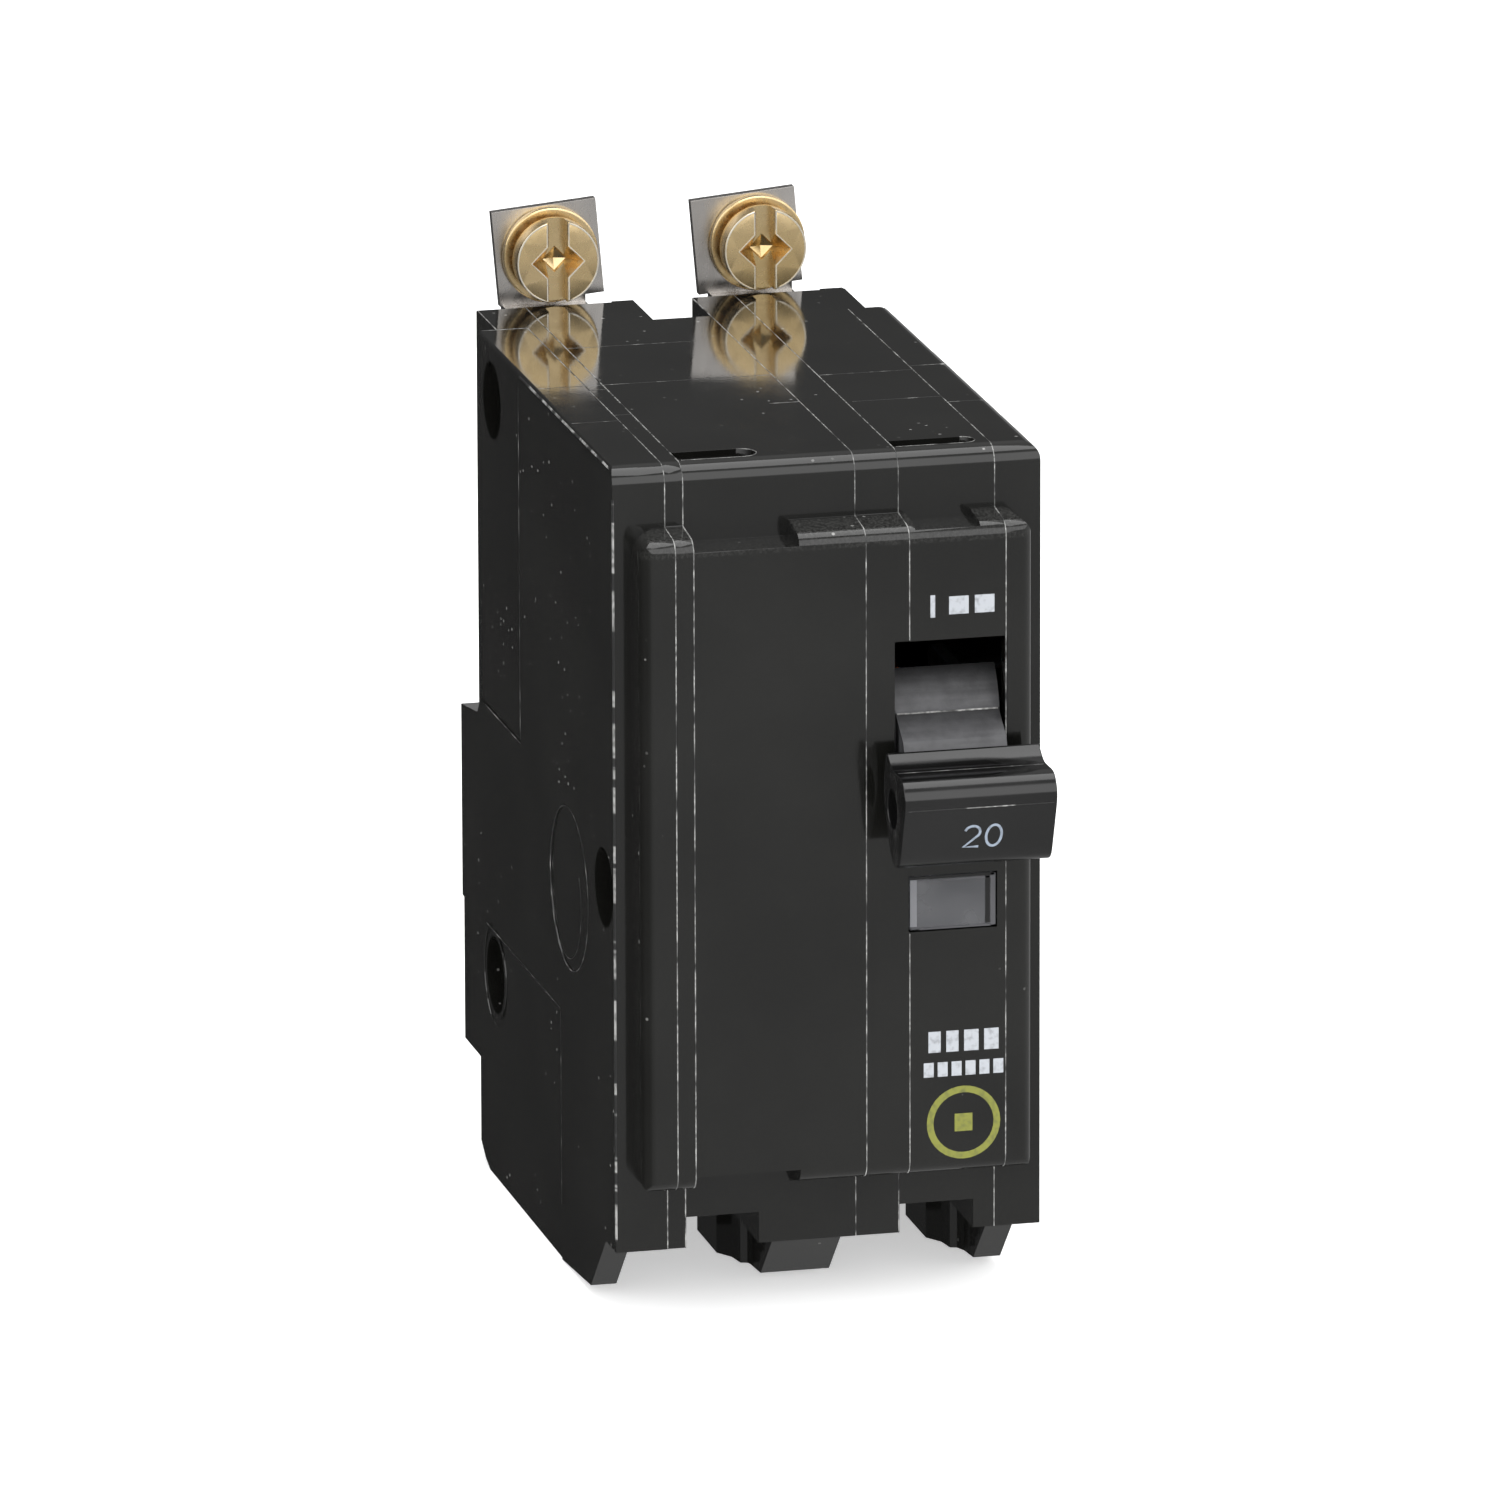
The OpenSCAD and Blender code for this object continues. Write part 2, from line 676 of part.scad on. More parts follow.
module lug_screw(p) color(steel) place() translate([shift(p), 0, 0]) difference() {
  union() {
    rod_z(lug_x, lug_y, 2.9, 0.1, 2.15);
    rod_z(lug_x, lug_y, 2, 2.1, 10);
  }
  block_of(lug_x - 4, lug_x + 4, lug_y - 0.5, lug_y + 0.5, -1, 1.1);
}

// ---- Arc chute ----

module arc_frame(p) color("#8a4b32") place() translate([shift(p), 0, 0]) {
  block_of(5, 5.8, 49.6, 56.2, 43, 59);
  block_of(13.9, 14.7, 49.6, 56.2, 43, 59);
  block_of(5, 14.7, 55.4, 56.2, 43, 59);
}

module arc_plates(p) color(steel) place() translate([shift(p), 0, 0])
  for (i = [0:plate_count - 1]) translate([0, 0, 45 + 2.3 * i]) linear_extrude(0.7)
    polygon([[5.8, 50], [8.4, 50], [9.85, 53.2], [11.3, 50], [13.9, 50], [13.9, 55.4], [5.8, 55.4]]);

left_cover();
pole_1_frame();
pole_1_case();
pole_2_base();
pole_2_frame();
right_cover();
case_rivets();
indicator_lens();
handle();
handle_shaft();
pole_1_crank();
trip_bar();
trip_flag();
flag_pin();
line_strap(0);  // line_strap_1
line_strap(1);  // line_strap_2
line_screw(0);  // line_screw_1
line_screw(1);  // line_screw_2
screw_collar(0);  // screw_collar_1
screw_collar(1);  // screw_collar_2
fixed_contact(0);  // fixed_contact_1
fixed_contact(1);  // fixed_contact_2
contact_arm(0);  // contact_arm_1
contact_arm(1);  // contact_arm_2
moving_contact(0);  // moving_contact_1
moving_contact(1);  // moving_contact_2
arm_pin(0);  // arm_pin_1
arm_pin(1);  // arm_pin_2
toggle_spring(0);  // toggle_spring_1
toggle_spring(1);  // toggle_spring_2
cradle(0);  // cradle_1
cradle(1);  // cradle_2
cradle_pin(0);  // cradle_pin_1
cradle_pin(1);  // cradle_pin_2
armature(0);  // armature_1
armature(1);  // armature_2
armature_pin(0);  // armature_pin_1
armature_pin(1);  // armature_pin_2
magnet_yoke(0);  // magnet_yoke_1
magnet_yoke(1);  // magnet_yoke_2
bimetal(0);  // bimetal_1
bimetal(1);  // bimetal_2
braid(0);  // braid_1
braid(1);  // braid_2
calibration_screw(0);  // calibration_screw_1
calibration_screw(1);  // calibration_screw_2
load_strap(0);  // load_strap_1
load_strap(1);  // load_strap_2
lug_clamp(0);  // lug_clamp_1
lug_clamp(1);  // lug_clamp_2
lug_screw(0);  // lug_screw_1
lug_screw(1);  // lug_screw_2
arc_frame(0);  // arc_frame_1
arc_frame(1);  // arc_frame_2
arc_plates(0);  // arc_plates_1
arc_plates(1);  // arc_plates_2
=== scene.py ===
import math

import bmesh
import bpy
from mathutils import Matrix, Vector


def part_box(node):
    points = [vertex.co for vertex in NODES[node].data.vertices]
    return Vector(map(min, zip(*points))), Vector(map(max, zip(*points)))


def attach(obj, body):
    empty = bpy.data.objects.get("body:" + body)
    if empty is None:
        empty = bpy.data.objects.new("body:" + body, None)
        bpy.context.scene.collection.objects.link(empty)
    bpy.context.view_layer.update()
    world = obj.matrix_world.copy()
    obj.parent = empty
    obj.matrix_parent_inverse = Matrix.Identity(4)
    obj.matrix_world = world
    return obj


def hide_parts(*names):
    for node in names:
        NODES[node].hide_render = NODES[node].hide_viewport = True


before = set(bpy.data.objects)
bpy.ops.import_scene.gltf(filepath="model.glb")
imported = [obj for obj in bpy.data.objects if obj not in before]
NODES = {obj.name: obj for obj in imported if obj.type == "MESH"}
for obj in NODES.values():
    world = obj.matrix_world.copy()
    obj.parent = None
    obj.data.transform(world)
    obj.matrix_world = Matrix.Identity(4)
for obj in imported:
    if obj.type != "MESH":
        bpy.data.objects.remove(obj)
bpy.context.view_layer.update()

MM = 0.001
SHELLS = ("left_cover", "pole_1_frame", "pole_1_case", "pole_2_base", "pole_2_frame", "right_cover")
UP = Vector((0, 0, 1))
FRONT = Vector((0, -1, 0))

# The case is described in millimetres from its own corner: X to the right from the left side,
# Y to the rear from the flange, Z up from the flange's lower edge.
CASE_W = 38.1
CASE_H = 70.3
REAR_Y = 60.0
COVER_END = 52.4
PANEL_Y = 36.0
EDGE_R = 1.7
BLOCK_OUT = 4.0
BLOCK_EDGE = 1.35
SKID_DROP = 6.6
CORNER = Vector((
    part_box("left_cover")[0].x,
    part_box("pole_1_case")[0].y + BLOCK_OUT * MM,
    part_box("left_cover")[0].z + SKID_DROP * MM,
))

# Where the joints between the shells lie along X, and the block's lower and upper edge
SEAMS = {"left_cover": 4.63, "pole_1_frame": 6.24, "poles": 21.52, "base": 25.39, "right_cover": 33.99}
BLOCK_LO, BLOCK_HI = 5.45, 64.9
FACE_Y = -BLOCK_OUT

# Openings as (left, right, bottom, top), then the handle's axis as (Y, Z), and the bus screws
WINDOW = (24.07, 34.1, 37.6, 54.4)
LENS = (25.3, 33.2, 28.3, 33.35)
PIVOT = (5.1, 46.0)
GRIP_MID = 29.085
POLE = 19.05
SCREW_X, SCREW_Z = 9.1, 74.4


def at(x, y, z):
    """A point given in case millimetres, in the frame's metres."""
    return CORNER + Vector((x, y, z)) * MM


# ---------------------------------------------------------------- camera, lights, floor

VIEW_AZIMUTH = -13.69
VIEW_ELEVATION = 14.99
VIEW_ROLL = -0.17
VIEW_DISTANCE = 1.5587
VIEW_LENS = 423.56
AIM = at(19.16, 28.84, 36.60)

# How bright the room is in front, in the soft box above the front, on the left, low behind, low
# behind on the left, and high behind
FRONT_LIGHT = 0.62
SOFT_BOX = 1.7
DIM_LEFT = 0.2
DIM_BEHIND = 0.5
DARK_CORNER = 0.045
SKY_BEHIND = 0.105
FLOOR_GLOW = 0.5
FLOOR_SIZE = 6

# Where the room changes from one to the next, as parts of a direction of length 1
BEHIND = (-0.25, 0.6)
LOW_LEFT = (-0.14, 0.04)
HIGH_SKY = (0.28, 0.8)
HORIZON = (-0.1, 0.08)
BOX_FOOT = (0.08, 0.2)
BOX_TOP = (0.74, 0.8)
LEFT_WALL = (-0.85, -0.15)


def add_camera():
    az, el = math.radians(VIEW_AZIMUTH), math.radians(VIEW_ELEVATION)
    forward = Vector((-math.sin(az) * math.cos(el), math.cos(az) * math.cos(el), -math.sin(el)))
    cam = bpy.data.objects.new("camera", bpy.data.cameras.new("camera"))
    cam.data.lens = VIEW_LENS
    cam.data.sensor_width = 36
    cam.data.clip_end = 10
    roll = Matrix.Rotation(math.radians(VIEW_ROLL), 3, "Z")
    turn = forward.to_track_quat("-Z", "Y").to_matrix() @ roll
    cam.matrix_world = Matrix.Translation(AIM - forward * VIEW_DISTANCE) @ turn.to_4x4()
    bpy.context.collection.objects.link(cam)
    bpy.context.scene.camera = cam


def area_light(name, place, size, power):
    """A square lamp that faces the object."""
    light = bpy.data.lights.new(name, "AREA")
    light.shape = "SQUARE"
    light.size = size
    light.energy = power
    obj = bpy.data.objects.new(name, light)
    obj.location = place
    obj.rotation_euler = (AIM - Vector(place)).to_track_quat("-Z", "Y").to_euler()
    bpy.context.collection.objects.link(obj)


# ---------------------------------------------------------------- node helpers

class Graph:
    """A small helper to write a node tree."""

    def __init__(self, tree, place):
        self.tree = tree
        self.place = tree.nodes.new("ShaderNodeTexCoord").outputs[place]

    def add(self, kind, **values):
        node = self.tree.nodes.new(kind)
        for key, value in values.items():
            setattr(node, key, value)
        return node

    def link(self, a, b):
        self.tree.links.new(a, b)

    def scaled(self, stretch):
        node = self.add("ShaderNodeMapping")
        node.inputs["Scale"].default_value = stretch
        self.link(self.place, node.inputs["Vector"])
        return node.outputs["Vector"]

    def noise(self, scale, detail=3, stretch=(1, 1, 1), rough=0.5):
        node = self.add("ShaderNodeTexNoise")
        node.inputs["Scale"].default_value = scale
        node.inputs["Detail"].default_value = detail
        node.inputs["Roughness"].default_value = rough
        self.link(self.scaled(stretch), node.inputs["Vector"])
        return node.outputs["Fac"]

    def cells(self, scale):
        node = self.add("ShaderNodeTexVoronoi")
        node.inputs["Scale"].default_value = scale
        self.link(self.place, node.inputs["Vector"])
        return node

    def parts(self):
        node = self.add("ShaderNodeSeparateXYZ")
        self.link(self.place, node.inputs["Vector"])
        return node.outputs

    def remap(self, source, lo, hi, to_lo=0.0, to_hi=1.0, curve="LINEAR"):
        node = self.add("ShaderNodeMapRange", interpolation_type=curve)
        ends = {"From Min": lo, "From Max": hi, "To Min": to_lo, "To Max": to_hi}
        for key, value in ends.items():
            node.inputs[key].default_value = value
        self.link(source, node.inputs["Value"])
        return node.outputs["Result"]

    def maths(self, what, a, b):
        node = self.add("ShaderNodeMath", operation=what)
        for i, value in enumerate((a, b)):
            if isinstance(value, (int, float)):
                node.inputs[i].default_value = value
            else:
                self.link(value, node.inputs[i])
        return node.outputs["Value"]

    def mix(self, amount, a, b):
        node = self.add("ShaderNodeMix", data_type="RGBA")
        self.link(amount, node.inputs["Factor"])
        for key, value in (("A", a), ("B", b)):
            socket = [s for s in node.inputs if s.name == key and s.type == "RGBA"][0]
            if isinstance(value, tuple):
                socket.default_value = (*value, 1)
            else:
                self.link(value, socket)
        return [s for s in node.outputs if s.type == "RGBA"][0]


class Nodes(Graph):
    """A material's nodes, around its Principled shader."""

    def __init__(self, name, material=None):
        self.material = material or bpy.data.materials.new(name)
        self.material.use_nodes = True
        super().__init__(self.material.node_tree, "Object")
        self.shader = self.tree.nodes["Principled BSDF"]

    def bump(self, height, strength, distance):
        node = self.add("ShaderNodeBump")
        node.inputs["Strength"].default_value = strength
        node.inputs["Distance"].default_value = distance
        self.link(height, node.inputs["Height"])
        self.link(node.outputs["Normal"], self.shader.inputs["Normal"])

    def colour(self, source):
        self.link(source, self.shader.inputs["Base Color"])

    def rough(self, source):
        self.link(source, self.shader.inputs["Roughness"])


def add_world():
    """A white room in front and overhead, dim behind, darkest low on the left behind."""
    world = bpy.data.worlds.new("studio")
    bpy.context.scene.world = world
    world.use_nodes = True
    g = Graph(world.node_tree, "Generated")
    x, y, z = g.parts()
    behind = g.remap(y, *BEHIND, curve="SMOOTHSTEP")
    low = g.remap(x, *LOW_LEFT, DARK_CORNER, DIM_BEHIND, curve="SMOOTHSTEP")
    high = g.remap(z, *HIGH_SKY, SKY_BEHIND, FRONT_LIGHT)
    above = g.remap(z, *HORIZON, curve="SMOOTHSTEP")
    rear = g.maths("ADD", g.maths("MULTIPLY", high, above),
                   g.maths("MULTIPLY", low, g.maths("SUBTRACT", 1.0, above)))
    box = g.maths("MULTIPLY", g.remap(z, *BOX_FOOT, curve="SMOOTHSTEP"), g.remap(z, *BOX_TOP, 1, 0))
    front = g.maths("ADD", g.remap(x, *LEFT_WALL, DIM_LEFT, FRONT_LIGHT),
                    g.maths("MULTIPLY", box, SOFT_BOX))
    level = g.maths("ADD", g.maths("MULTIPLY", rear, behind),
                    g.maths("MULTIPLY", g.maths("SUBTRACT", 1.0, behind), front))
    sky = world.node_tree.nodes["Background"]
    sky.inputs["Color"].default_value = (1, 1, 1, 1)
    g.link(level, sky.inputs["Strength"])


# ---------------------------------------------------------------- materials

def moulded(name, dark, pale, rough_lo, rough_hi, dust=0.0, grain=0.012):
    """Moulded plastic: cloudy gloss, a fine skin, and specks of dust."""
    m = Nodes(name)
    cloud = m.noise(70, 4)
    colour = m.mix(m.remap(cloud, 0.35, 0.7), dark, pale)
    if dust:
        specks = m.cells(900)
        near = m.remap(specks.outputs["Distance"], 0.09, 0.16, 1, 0)
        some = m.remap(specks.outputs["Color"], 0.7, 0.78)
        patch = m.remap(m.noise(60, 2), 0.44, 0.6)
        shown = m.maths("MULTIPLY", m.maths("MULTIPLY", near, some), patch)
        colour = m.mix(m.maths("MULTIPLY", shown, dust), colour, (0.34, 0.34, 0.33))
    m.colour(colour)
    m.rough(m.remap(m.noise(160, 5), 0.3, 0.75, rough_lo, rough_hi))
    m.bump(m.noise(2600, 2), grain, 0.0002)
    return m.material


def dusty_case():
    """The case's plastic, with pale dust lying on the front block's upper ledge."""
    dark, pale = (0.0045, 0.0045, 0.004), (0.008, 0.008, 0.0072)
    material = moulded("case_plastic", dark, pale, 0.05, 0.12, dust=0.8)
    m = Nodes("case_plastic", material)
    _, y, z = m.parts()
    soft = 0.2 * MM
    front, ledge, edge = at(0, -0.15, 0).y, at(0, 0, 63.0).z, at(0, 0, 64.2).z
    on_block = m.remap(y, front - soft, front, 1, 0)
    on_ledge = m.maths("MULTIPLY", on_block, m.remap(z, ledge, ledge + soft))
    above = m.remap(z, edge, edge + 1.5 * soft, 0.35, 1)
    grit = m.remap(m.noise(4200, 4), 0.4, 0.7)
    shown = m.maths("MULTIPLY", m.maths("MULTIPLY", on_ledge, above), grit)
    was = m.shader.inputs["Base Color"].links[0].from_socket
    m.colour(m.mix(m.maths("MULTIPLY", shown, 0.6), was, (0.07, 0.07, 0.067)))
    return material


def scuff_and_highlight_line(name, low, high, scale=520, stretch=(1, 1, 1)):
    """The pale, broken line along a joint in the mould or a worn edge, also used as a painted highlight
    along the side panels' steps.
    """
    m = Nodes(name)
    broken = m.remap(m.noise(scale, 3, stretch), low, high)
    fine = m.remap(m.noise(2200, 2), 0.38, 0.6, 0.35, 1.0)
    m.colour(m.mix(m.maths("MULTIPLY", broken, fine), (0.018, 0.018, 0.018), (0.36, 0.36, 0.35)))
    m.rough(m.remap(m.noise(900, 2), 0.3, 0.7, 0.35, 0.6))
    return m.material


def metal(name, dark, pale, rough_lo, rough_hi, stretch=(1, 1, 1), scale=300, bump=0.05):
    """Stained metal with fine lines from its rolling or turning."""
    m = Nodes(name)
    m.shader.inputs["Metallic"].default_value = 1.0
    stain = m.noise(scale * 0.35, 4)
    lines = m.noise(scale * 6, 3, stretch)
    m.colour(m.mix(m.remap(stain, 0.35, 0.68), dark, pale))
    m.rough(m.remap(lines, 0.3, 0.7, rough_lo, rough_hi))
    m.bump(lines, bump, 0.0001)
    return m.material


def printed(name, ink):
    """Ink that has worn through in places."""
    m = Nodes(name)
    worn = m.remap(m.noise(1900, 3), 0.28, 0.5, 0.55, 1.0)
    m.colour(m.mix(worn, (0.03, 0.03, 0.03), ink))
    m.rough(m.remap(m.noise(900, 2), 0.3, 0.7, 0.4, 0.6))
    return m.material


HOOD_SEAM = 47.65


def satin():
    """The handle's matt hood and neck, with painted shade: each is painted darkest at its top, where the
    window shades it.
    """
    m = Nodes("satin_plastic")
    z = m.parts()["Z"]
    seam, hood_top, neck_foot = (at(0, 0, h).z for h in (HOOD_SEAM, 51.3, 45.8))
    soft = 0.04 * MM
    # Painted shade: the colour darkens towards the top of the hood and towards the top of the neck.
    hood = m.remap(z, seam + 10 * soft, hood_top, 1, 0.12)
    neck = m.remap(z, neck_foot, seam, 1, 0.3)
    above = m.remap(z, seam - soft, seam + soft)
    level = m.maths("ADD", m.maths("MULTIPLY", hood, above),
                    m.maths("MULTIPLY", neck, m.maths("SUBTRACT", 1.0, above)))
    cloud = m.remap(m.noise(900, 4), 0.3, 0.7, 0.8, 1.1)
    streak = m.remap(m.noise(1500, 3, (0.05, 1, 1)), 0.3, 0.7, 0.85, 1.1)
    shade = m.maths("MULTIPLY", level, m.maths("MULTIPLY", cloud, streak))
    m.colour(m.mix(shade, (0.006, 0.006, 0.006), (0.062, 0.062, 0.066)))
    # The sheen follows the same painted shade and is weaker where the colour is painted darker.
    m.link(m.remap(shade, 0, 1, 0.06, 0.5), m.shader.inputs["Specular IOR Level"])
    m.rough(m.remap(m.noise(700, 3), 0.3, 0.7, 0.36, 0.5))
    m.bump(m.noise(5000, 3), 0.08, 0.0002)
    return m.material


def clear_lens():
    """Clear plastic with a grey tint, a little cloudy."""
    m = Nodes("lens_plastic")
    cloud = m.remap(m.noise(240, 2), 0.35, 0.7)
    m.colour(m.mix(cloud, (0.12, 0.122, 0.132), (0.17, 0.172, 0.182)))
    m.rough(m.remap(m.noise(400, 3), 0.3, 0.7, 0.12, 0.24))
    m.shader.inputs["Transmission Weight"].default_value = 0.5
    m.shader.inputs["IOR"].default_value = 1.49
    return m.material


def flag_paint():
    """Dark above, signal orange in the part that a trip lifts into view."""
    m = Nodes("flag_paint")
    edge, soft = at(0, 0, 28.8).z, 0.05 * MM
    dark = m.remap(m.parts()["Z"], edge - soft, edge + soft)
    shade = m.mix(m.noise(300, 3), (0.66, 0.14, 0.02), (0.8, 0.2, 0.04))
    m.colour(m.mix(dark, shade, (0.02, 0.02, 0.021)))
    m.rough(m.remap(m.noise(500, 2), 0.3, 0.7, 0.4, 0.55))
    return m.material


case_plastic = dusty_case()
grip_plastic = moulded("grip_plastic", (0.004, 0.004, 0.004), (0.007, 0.007, 0.007), 0.1, 0.2)
satin_plastic = satin()
inner_plastic = moulded("inner_plastic", (0.03, 0.03, 0.034), (0.05, 0.05, 0.055), 0.3, 0.5)
fibre = moulded("fibre", (0.2, 0.075, 0.045), (0.3, 0.12, 0.07), 0.5, 0.7, grain=0.2)
pale_line = scuff_and_highlight_line("pale_line", 0.38, 0.56)
faint_line = scuff_and_highlight_line("faint_line", 0.5, 0.66)
dotted_line = scuff_and_highlight_line("dotted_line", 0.56, 0.62)
chipped_line = scuff_and_highlight_line("chipped_line", 0.47, 0.53, 700)
dashed_line = scuff_and_highlight_line("dashed_line", 0.5, 0.53, 560, (0.02, 0.02, 1))
tinned = metal("tinned", (0.37, 0.354, 0.338), (0.63, 0.602, 0.574), 0.2, 0.32, (1, 1, 0.3),
               scale=220, bump=0.02)
brass = metal("brass", (0.62, 0.46, 0.23), (0.74, 0.58, 0.34), 0.2, 0.34, scale=200, bump=0.015)
# Near-white brass for the painted highlights along the bus screws' rims, slots and pits.
highlight_brass = metal("highlight_brass", (0.84, 0.76, 0.6), (0.95, 0.9, 0.8), 0.3, 0.45, bump=0.015)
steel = metal("steel", (0.33, 0.34, 0.36), (0.5, 0.51, 0.53), 0.25, 0.4)
# The rivets' steel is painted near black: painted shade for the recesses the rivets sit in.
painted_shade_steel = metal("painted_shade_steel", (0.05, 0.05, 0.053), (0.11, 0.11, 0.116), 0.35, 0.5)
copper = metal("copper", (0.45, 0.2, 0.11), (0.66, 0.34, 0.2), 0.25, 0.42)
silver = metal("silver", (0.6, 0.59, 0.56), (0.8, 0.79, 0.76), 0.15, 0.3)
strip_metal = metal("strip_metal", (0.42, 0.31, 0.18), (0.58, 0.45, 0.28), 0.25, 0.4, (1, 1, 0.1))
white_ink = printed("white_ink", (0.4, 0.42, 0.45))
yellow_ink = printed("yellow_ink", (0.2, 0.21, 0.03))
cool_ink = printed("cool_ink", (0.24, 0.285, 0.35))
frosted = moulded("frosted", (0.13, 0.132, 0.142), (0.2, 0.202, 0.215), 0.25, 0.45)
lens_edge = moulded("lens_edge", (0.05, 0.05, 0.055), (0.09, 0.09, 0.097), 0.25, 0.45)
lens_plastic = clear_lens()
flag = flag_paint()

FINISHES = {name: case_plastic for name in SHELLS} | {
    "case_rivets": painted_shade_steel, "indicator_lens": lens_plastic, "handle": grip_plastic,
    "handle_shaft": steel, "pole_1_crank": inner_plastic, "trip_bar": inner_plastic,
    "trip_flag": flag, "flag_pin": steel, "line_strap": tinned, "line_screw": brass,
    "screw_collar": brass, "fixed_contact": silver, "contact_arm": copper, "moving_contact": silver,
    "arm_pin": steel, "toggle_spring": steel, "cradle": steel, "cradle_pin": steel, "armature": steel,
    "armature_pin": steel, "magnet_yoke": steel, "bimetal": strip_metal, "braid": copper,
    "calibration_screw": brass, "load_strap": tinned, "lug_clamp": steel, "lug_screw": steel,
    "arc_frame": fibre, "arc_plates": steel,
}

# How close points are welded (mm), the steepest step within a flat, and the angles from which an
# edge is rounded or shaded as an edge (degrees)
WELD_GAP = 0.002
FLAT_ANGLE = 0.6
ROUND_ANGLE = 35
CARVED_GAP, CARVED_ROUND_ANGLE, CARVED_SHARP_ANGLE = 0.004, 28, 32
SHARP_ANGLE = 40


def finish_node(name, obj):
    """Gives a CAD node its material. A pair's names end in _1 and _2."""
    key = name if name in FINISHES else name[:-2]
    obj.data.materials.clear()
    obj.data.materials.append(FINISHES[key])


def soften(name, width, segments=2):
    """Small real radii on a CAD node's edges, with each flat as one face so that it shades evenly."""
    obj = NODES[name]
    weld = obj.modifiers.new("weld", "WELD")
    weld.merge_threshold = WELD_GAP * MM
    flats = obj.modifiers.new("flats", "DECIMATE")
    flats.decimate_type = "DISSOLVE"
    flats.angle_limit = math.radians(FLAT_ANGLE)
    bevel = obj.modifiers.new("bevel", "BEVEL")
    bevel.width = width * MM
    bevel.segments = segments
    bevel.limit_method = "ANGLE"
    bevel.angle_limit = math.radians(ROUND_ANGLE)
    even = obj.modifiers.new("even", "WEIGHTED_NORMAL")
    even.keep_sharp = True


# ---------------------------------------------------------------- mesh helpers

def solid(verts, faces, material=None, name="shape"):
    """A closed mesh object with its faces turned outwards."""
    mesh = bpy.data.meshes.new(name)
    mesh.from_pydata([tuple(v) for v in verts], [], faces)
    fix = bmesh.new()
    fix.from_mesh(mesh)
    bmesh.ops.recalc_face_normals(fix, faces=fix.faces)
    fix.to_mesh(mesh)
    fix.free()
    if material:
        mesh.materials.append(material)
    obj = bpy.data.objects.new(name, mesh)
    bpy.context.collection.objects.link(obj)
    return obj


def piece(name, verts, faces, material, body):
    """A finished piece that rides on its body."""
    obj = solid(verts, faces, material, name)
    obj.data.validate()
    obj.data.shade_smooth()
    obj.data.set_sharp_from_angle(angle=math.radians(SHARP_ANGLE))
    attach(obj, body)
    return obj


def rounded(points, rounds=2):
    """Cuts an outline's corners, so that its stretches run smoothly into each other."""
    for _ in range(rounds):
        cut = []
        for (a, b), (c, d) in zip(points, points[1:] + points[:1]):
            cut += [(a * 0.75 + c * 0.25, b * 0.75 + d * 0.25), (a * 0.25 + c * 0.75, b * 0.25 + d * 0.75)]
        points = cut
    return points


def prism(outline, x0, x1):
    """A (Y, Z) outline drawn out along X, as vertices and faces."""
    n = len(outline)
    verts = [at(x, y, z) for x in (x0, x1) for y, z in outline]
    faces = [tuple(range(n)), tuple(range(2 * n - 1, n - 1, -1))]
    faces += [(i, n + i, n + (i + 1) % n, (i + 1) % n) for i in range(n)]
    return verts, faces


def lathe(rows, x, z, wave, around=72):
    """(radius, Y) rows turned about an axis along Y. wave(y, turn) adds to the radius."""
    verts, faces = [], []
    for r, y in rows:
        for k in range(around):
            a = 2 * math.pi * k / around
            reach = r + wave(y, k / around)
            verts.append(at(x + reach * math.cos(a), y, z + reach * math.sin(a)))
    for i in range(len(rows) - 1):
        here, ahead = i * around, (i + 1) * around
        for k in range(around):
            n = (k + 1) % around
            faces.append((here + k, here + n, ahead + n, ahead + k))
    last = (len(rows) - 1) * around
    faces += [tuple(range(around)), tuple(range(last + around - 1, last - 1, -1))]
    return verts, faces


def combine(base, others, how):
    """Cuts the others from the base, or joins them to it. The others are used up."""
    for other in others:
        cut = base.modifiers.new("cut", "BOOLEAN")
        cut.operation = how
        cut.solver = "EXACT"
        cut.material_mode = "TRANSFER"
        cut.object = other
        seen = base.evaluated_get(bpy.context.evaluated_depsgraph_get())
        shape = bpy.data.meshes.new_from_object(seen)
        base.modifiers.clear()
        base.data = shape
        bpy.data.objects.remove(other)
    return base


def dress(obj, name, body, bevel=0, keep=None):
    """Rounds a carved shape's edges that keep() picks, shades it, and lets it ride on its body."""
    mesh = obj.data
    edit = bmesh.new()
    edit.from_mesh(mesh)
    bmesh.ops.remove_doubles(edit, verts=edit.verts, dist=CARVED_GAP * MM)
    if keep:
        picked = [e for e in edit.edges if len(e.link_faces) == 2
                  and e.calc_face_angle(0) > math.radians(CARVED_ROUND_ANGLE) and keep(e)]
        bmesh.ops.bevel(edit, geom=picked, offset=bevel * MM, segments=3, profile=0.5,
                        affect="EDGES", clamp_overlap=True)
    many_sided = [f for f in edit.faces if len(f.verts) > 4]
    bmesh.ops.triangulate(edit, faces=many_sided, ngon_method="BEAUTY")
    edit.to_mesh(mesh)
    edit.free()
    mesh.shade_smooth()
    mesh.set_sharp_from_angle(angle=math.radians(CARVED_SHARP_ANGLE))
    even = obj.modifiers.new("even", "WEIGHTED_NORMAL")
    even.keep_sharp = True
    obj.name = name
    mesh.name = name
    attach(obj, body)
    return obj


# How far a fine line stands out of its surface, how deep it reaches in, and a joint line's width
LINE_PROUD, LINE_SUNK, SEAM_WIDTH = 0.012, 0.03, 0.13


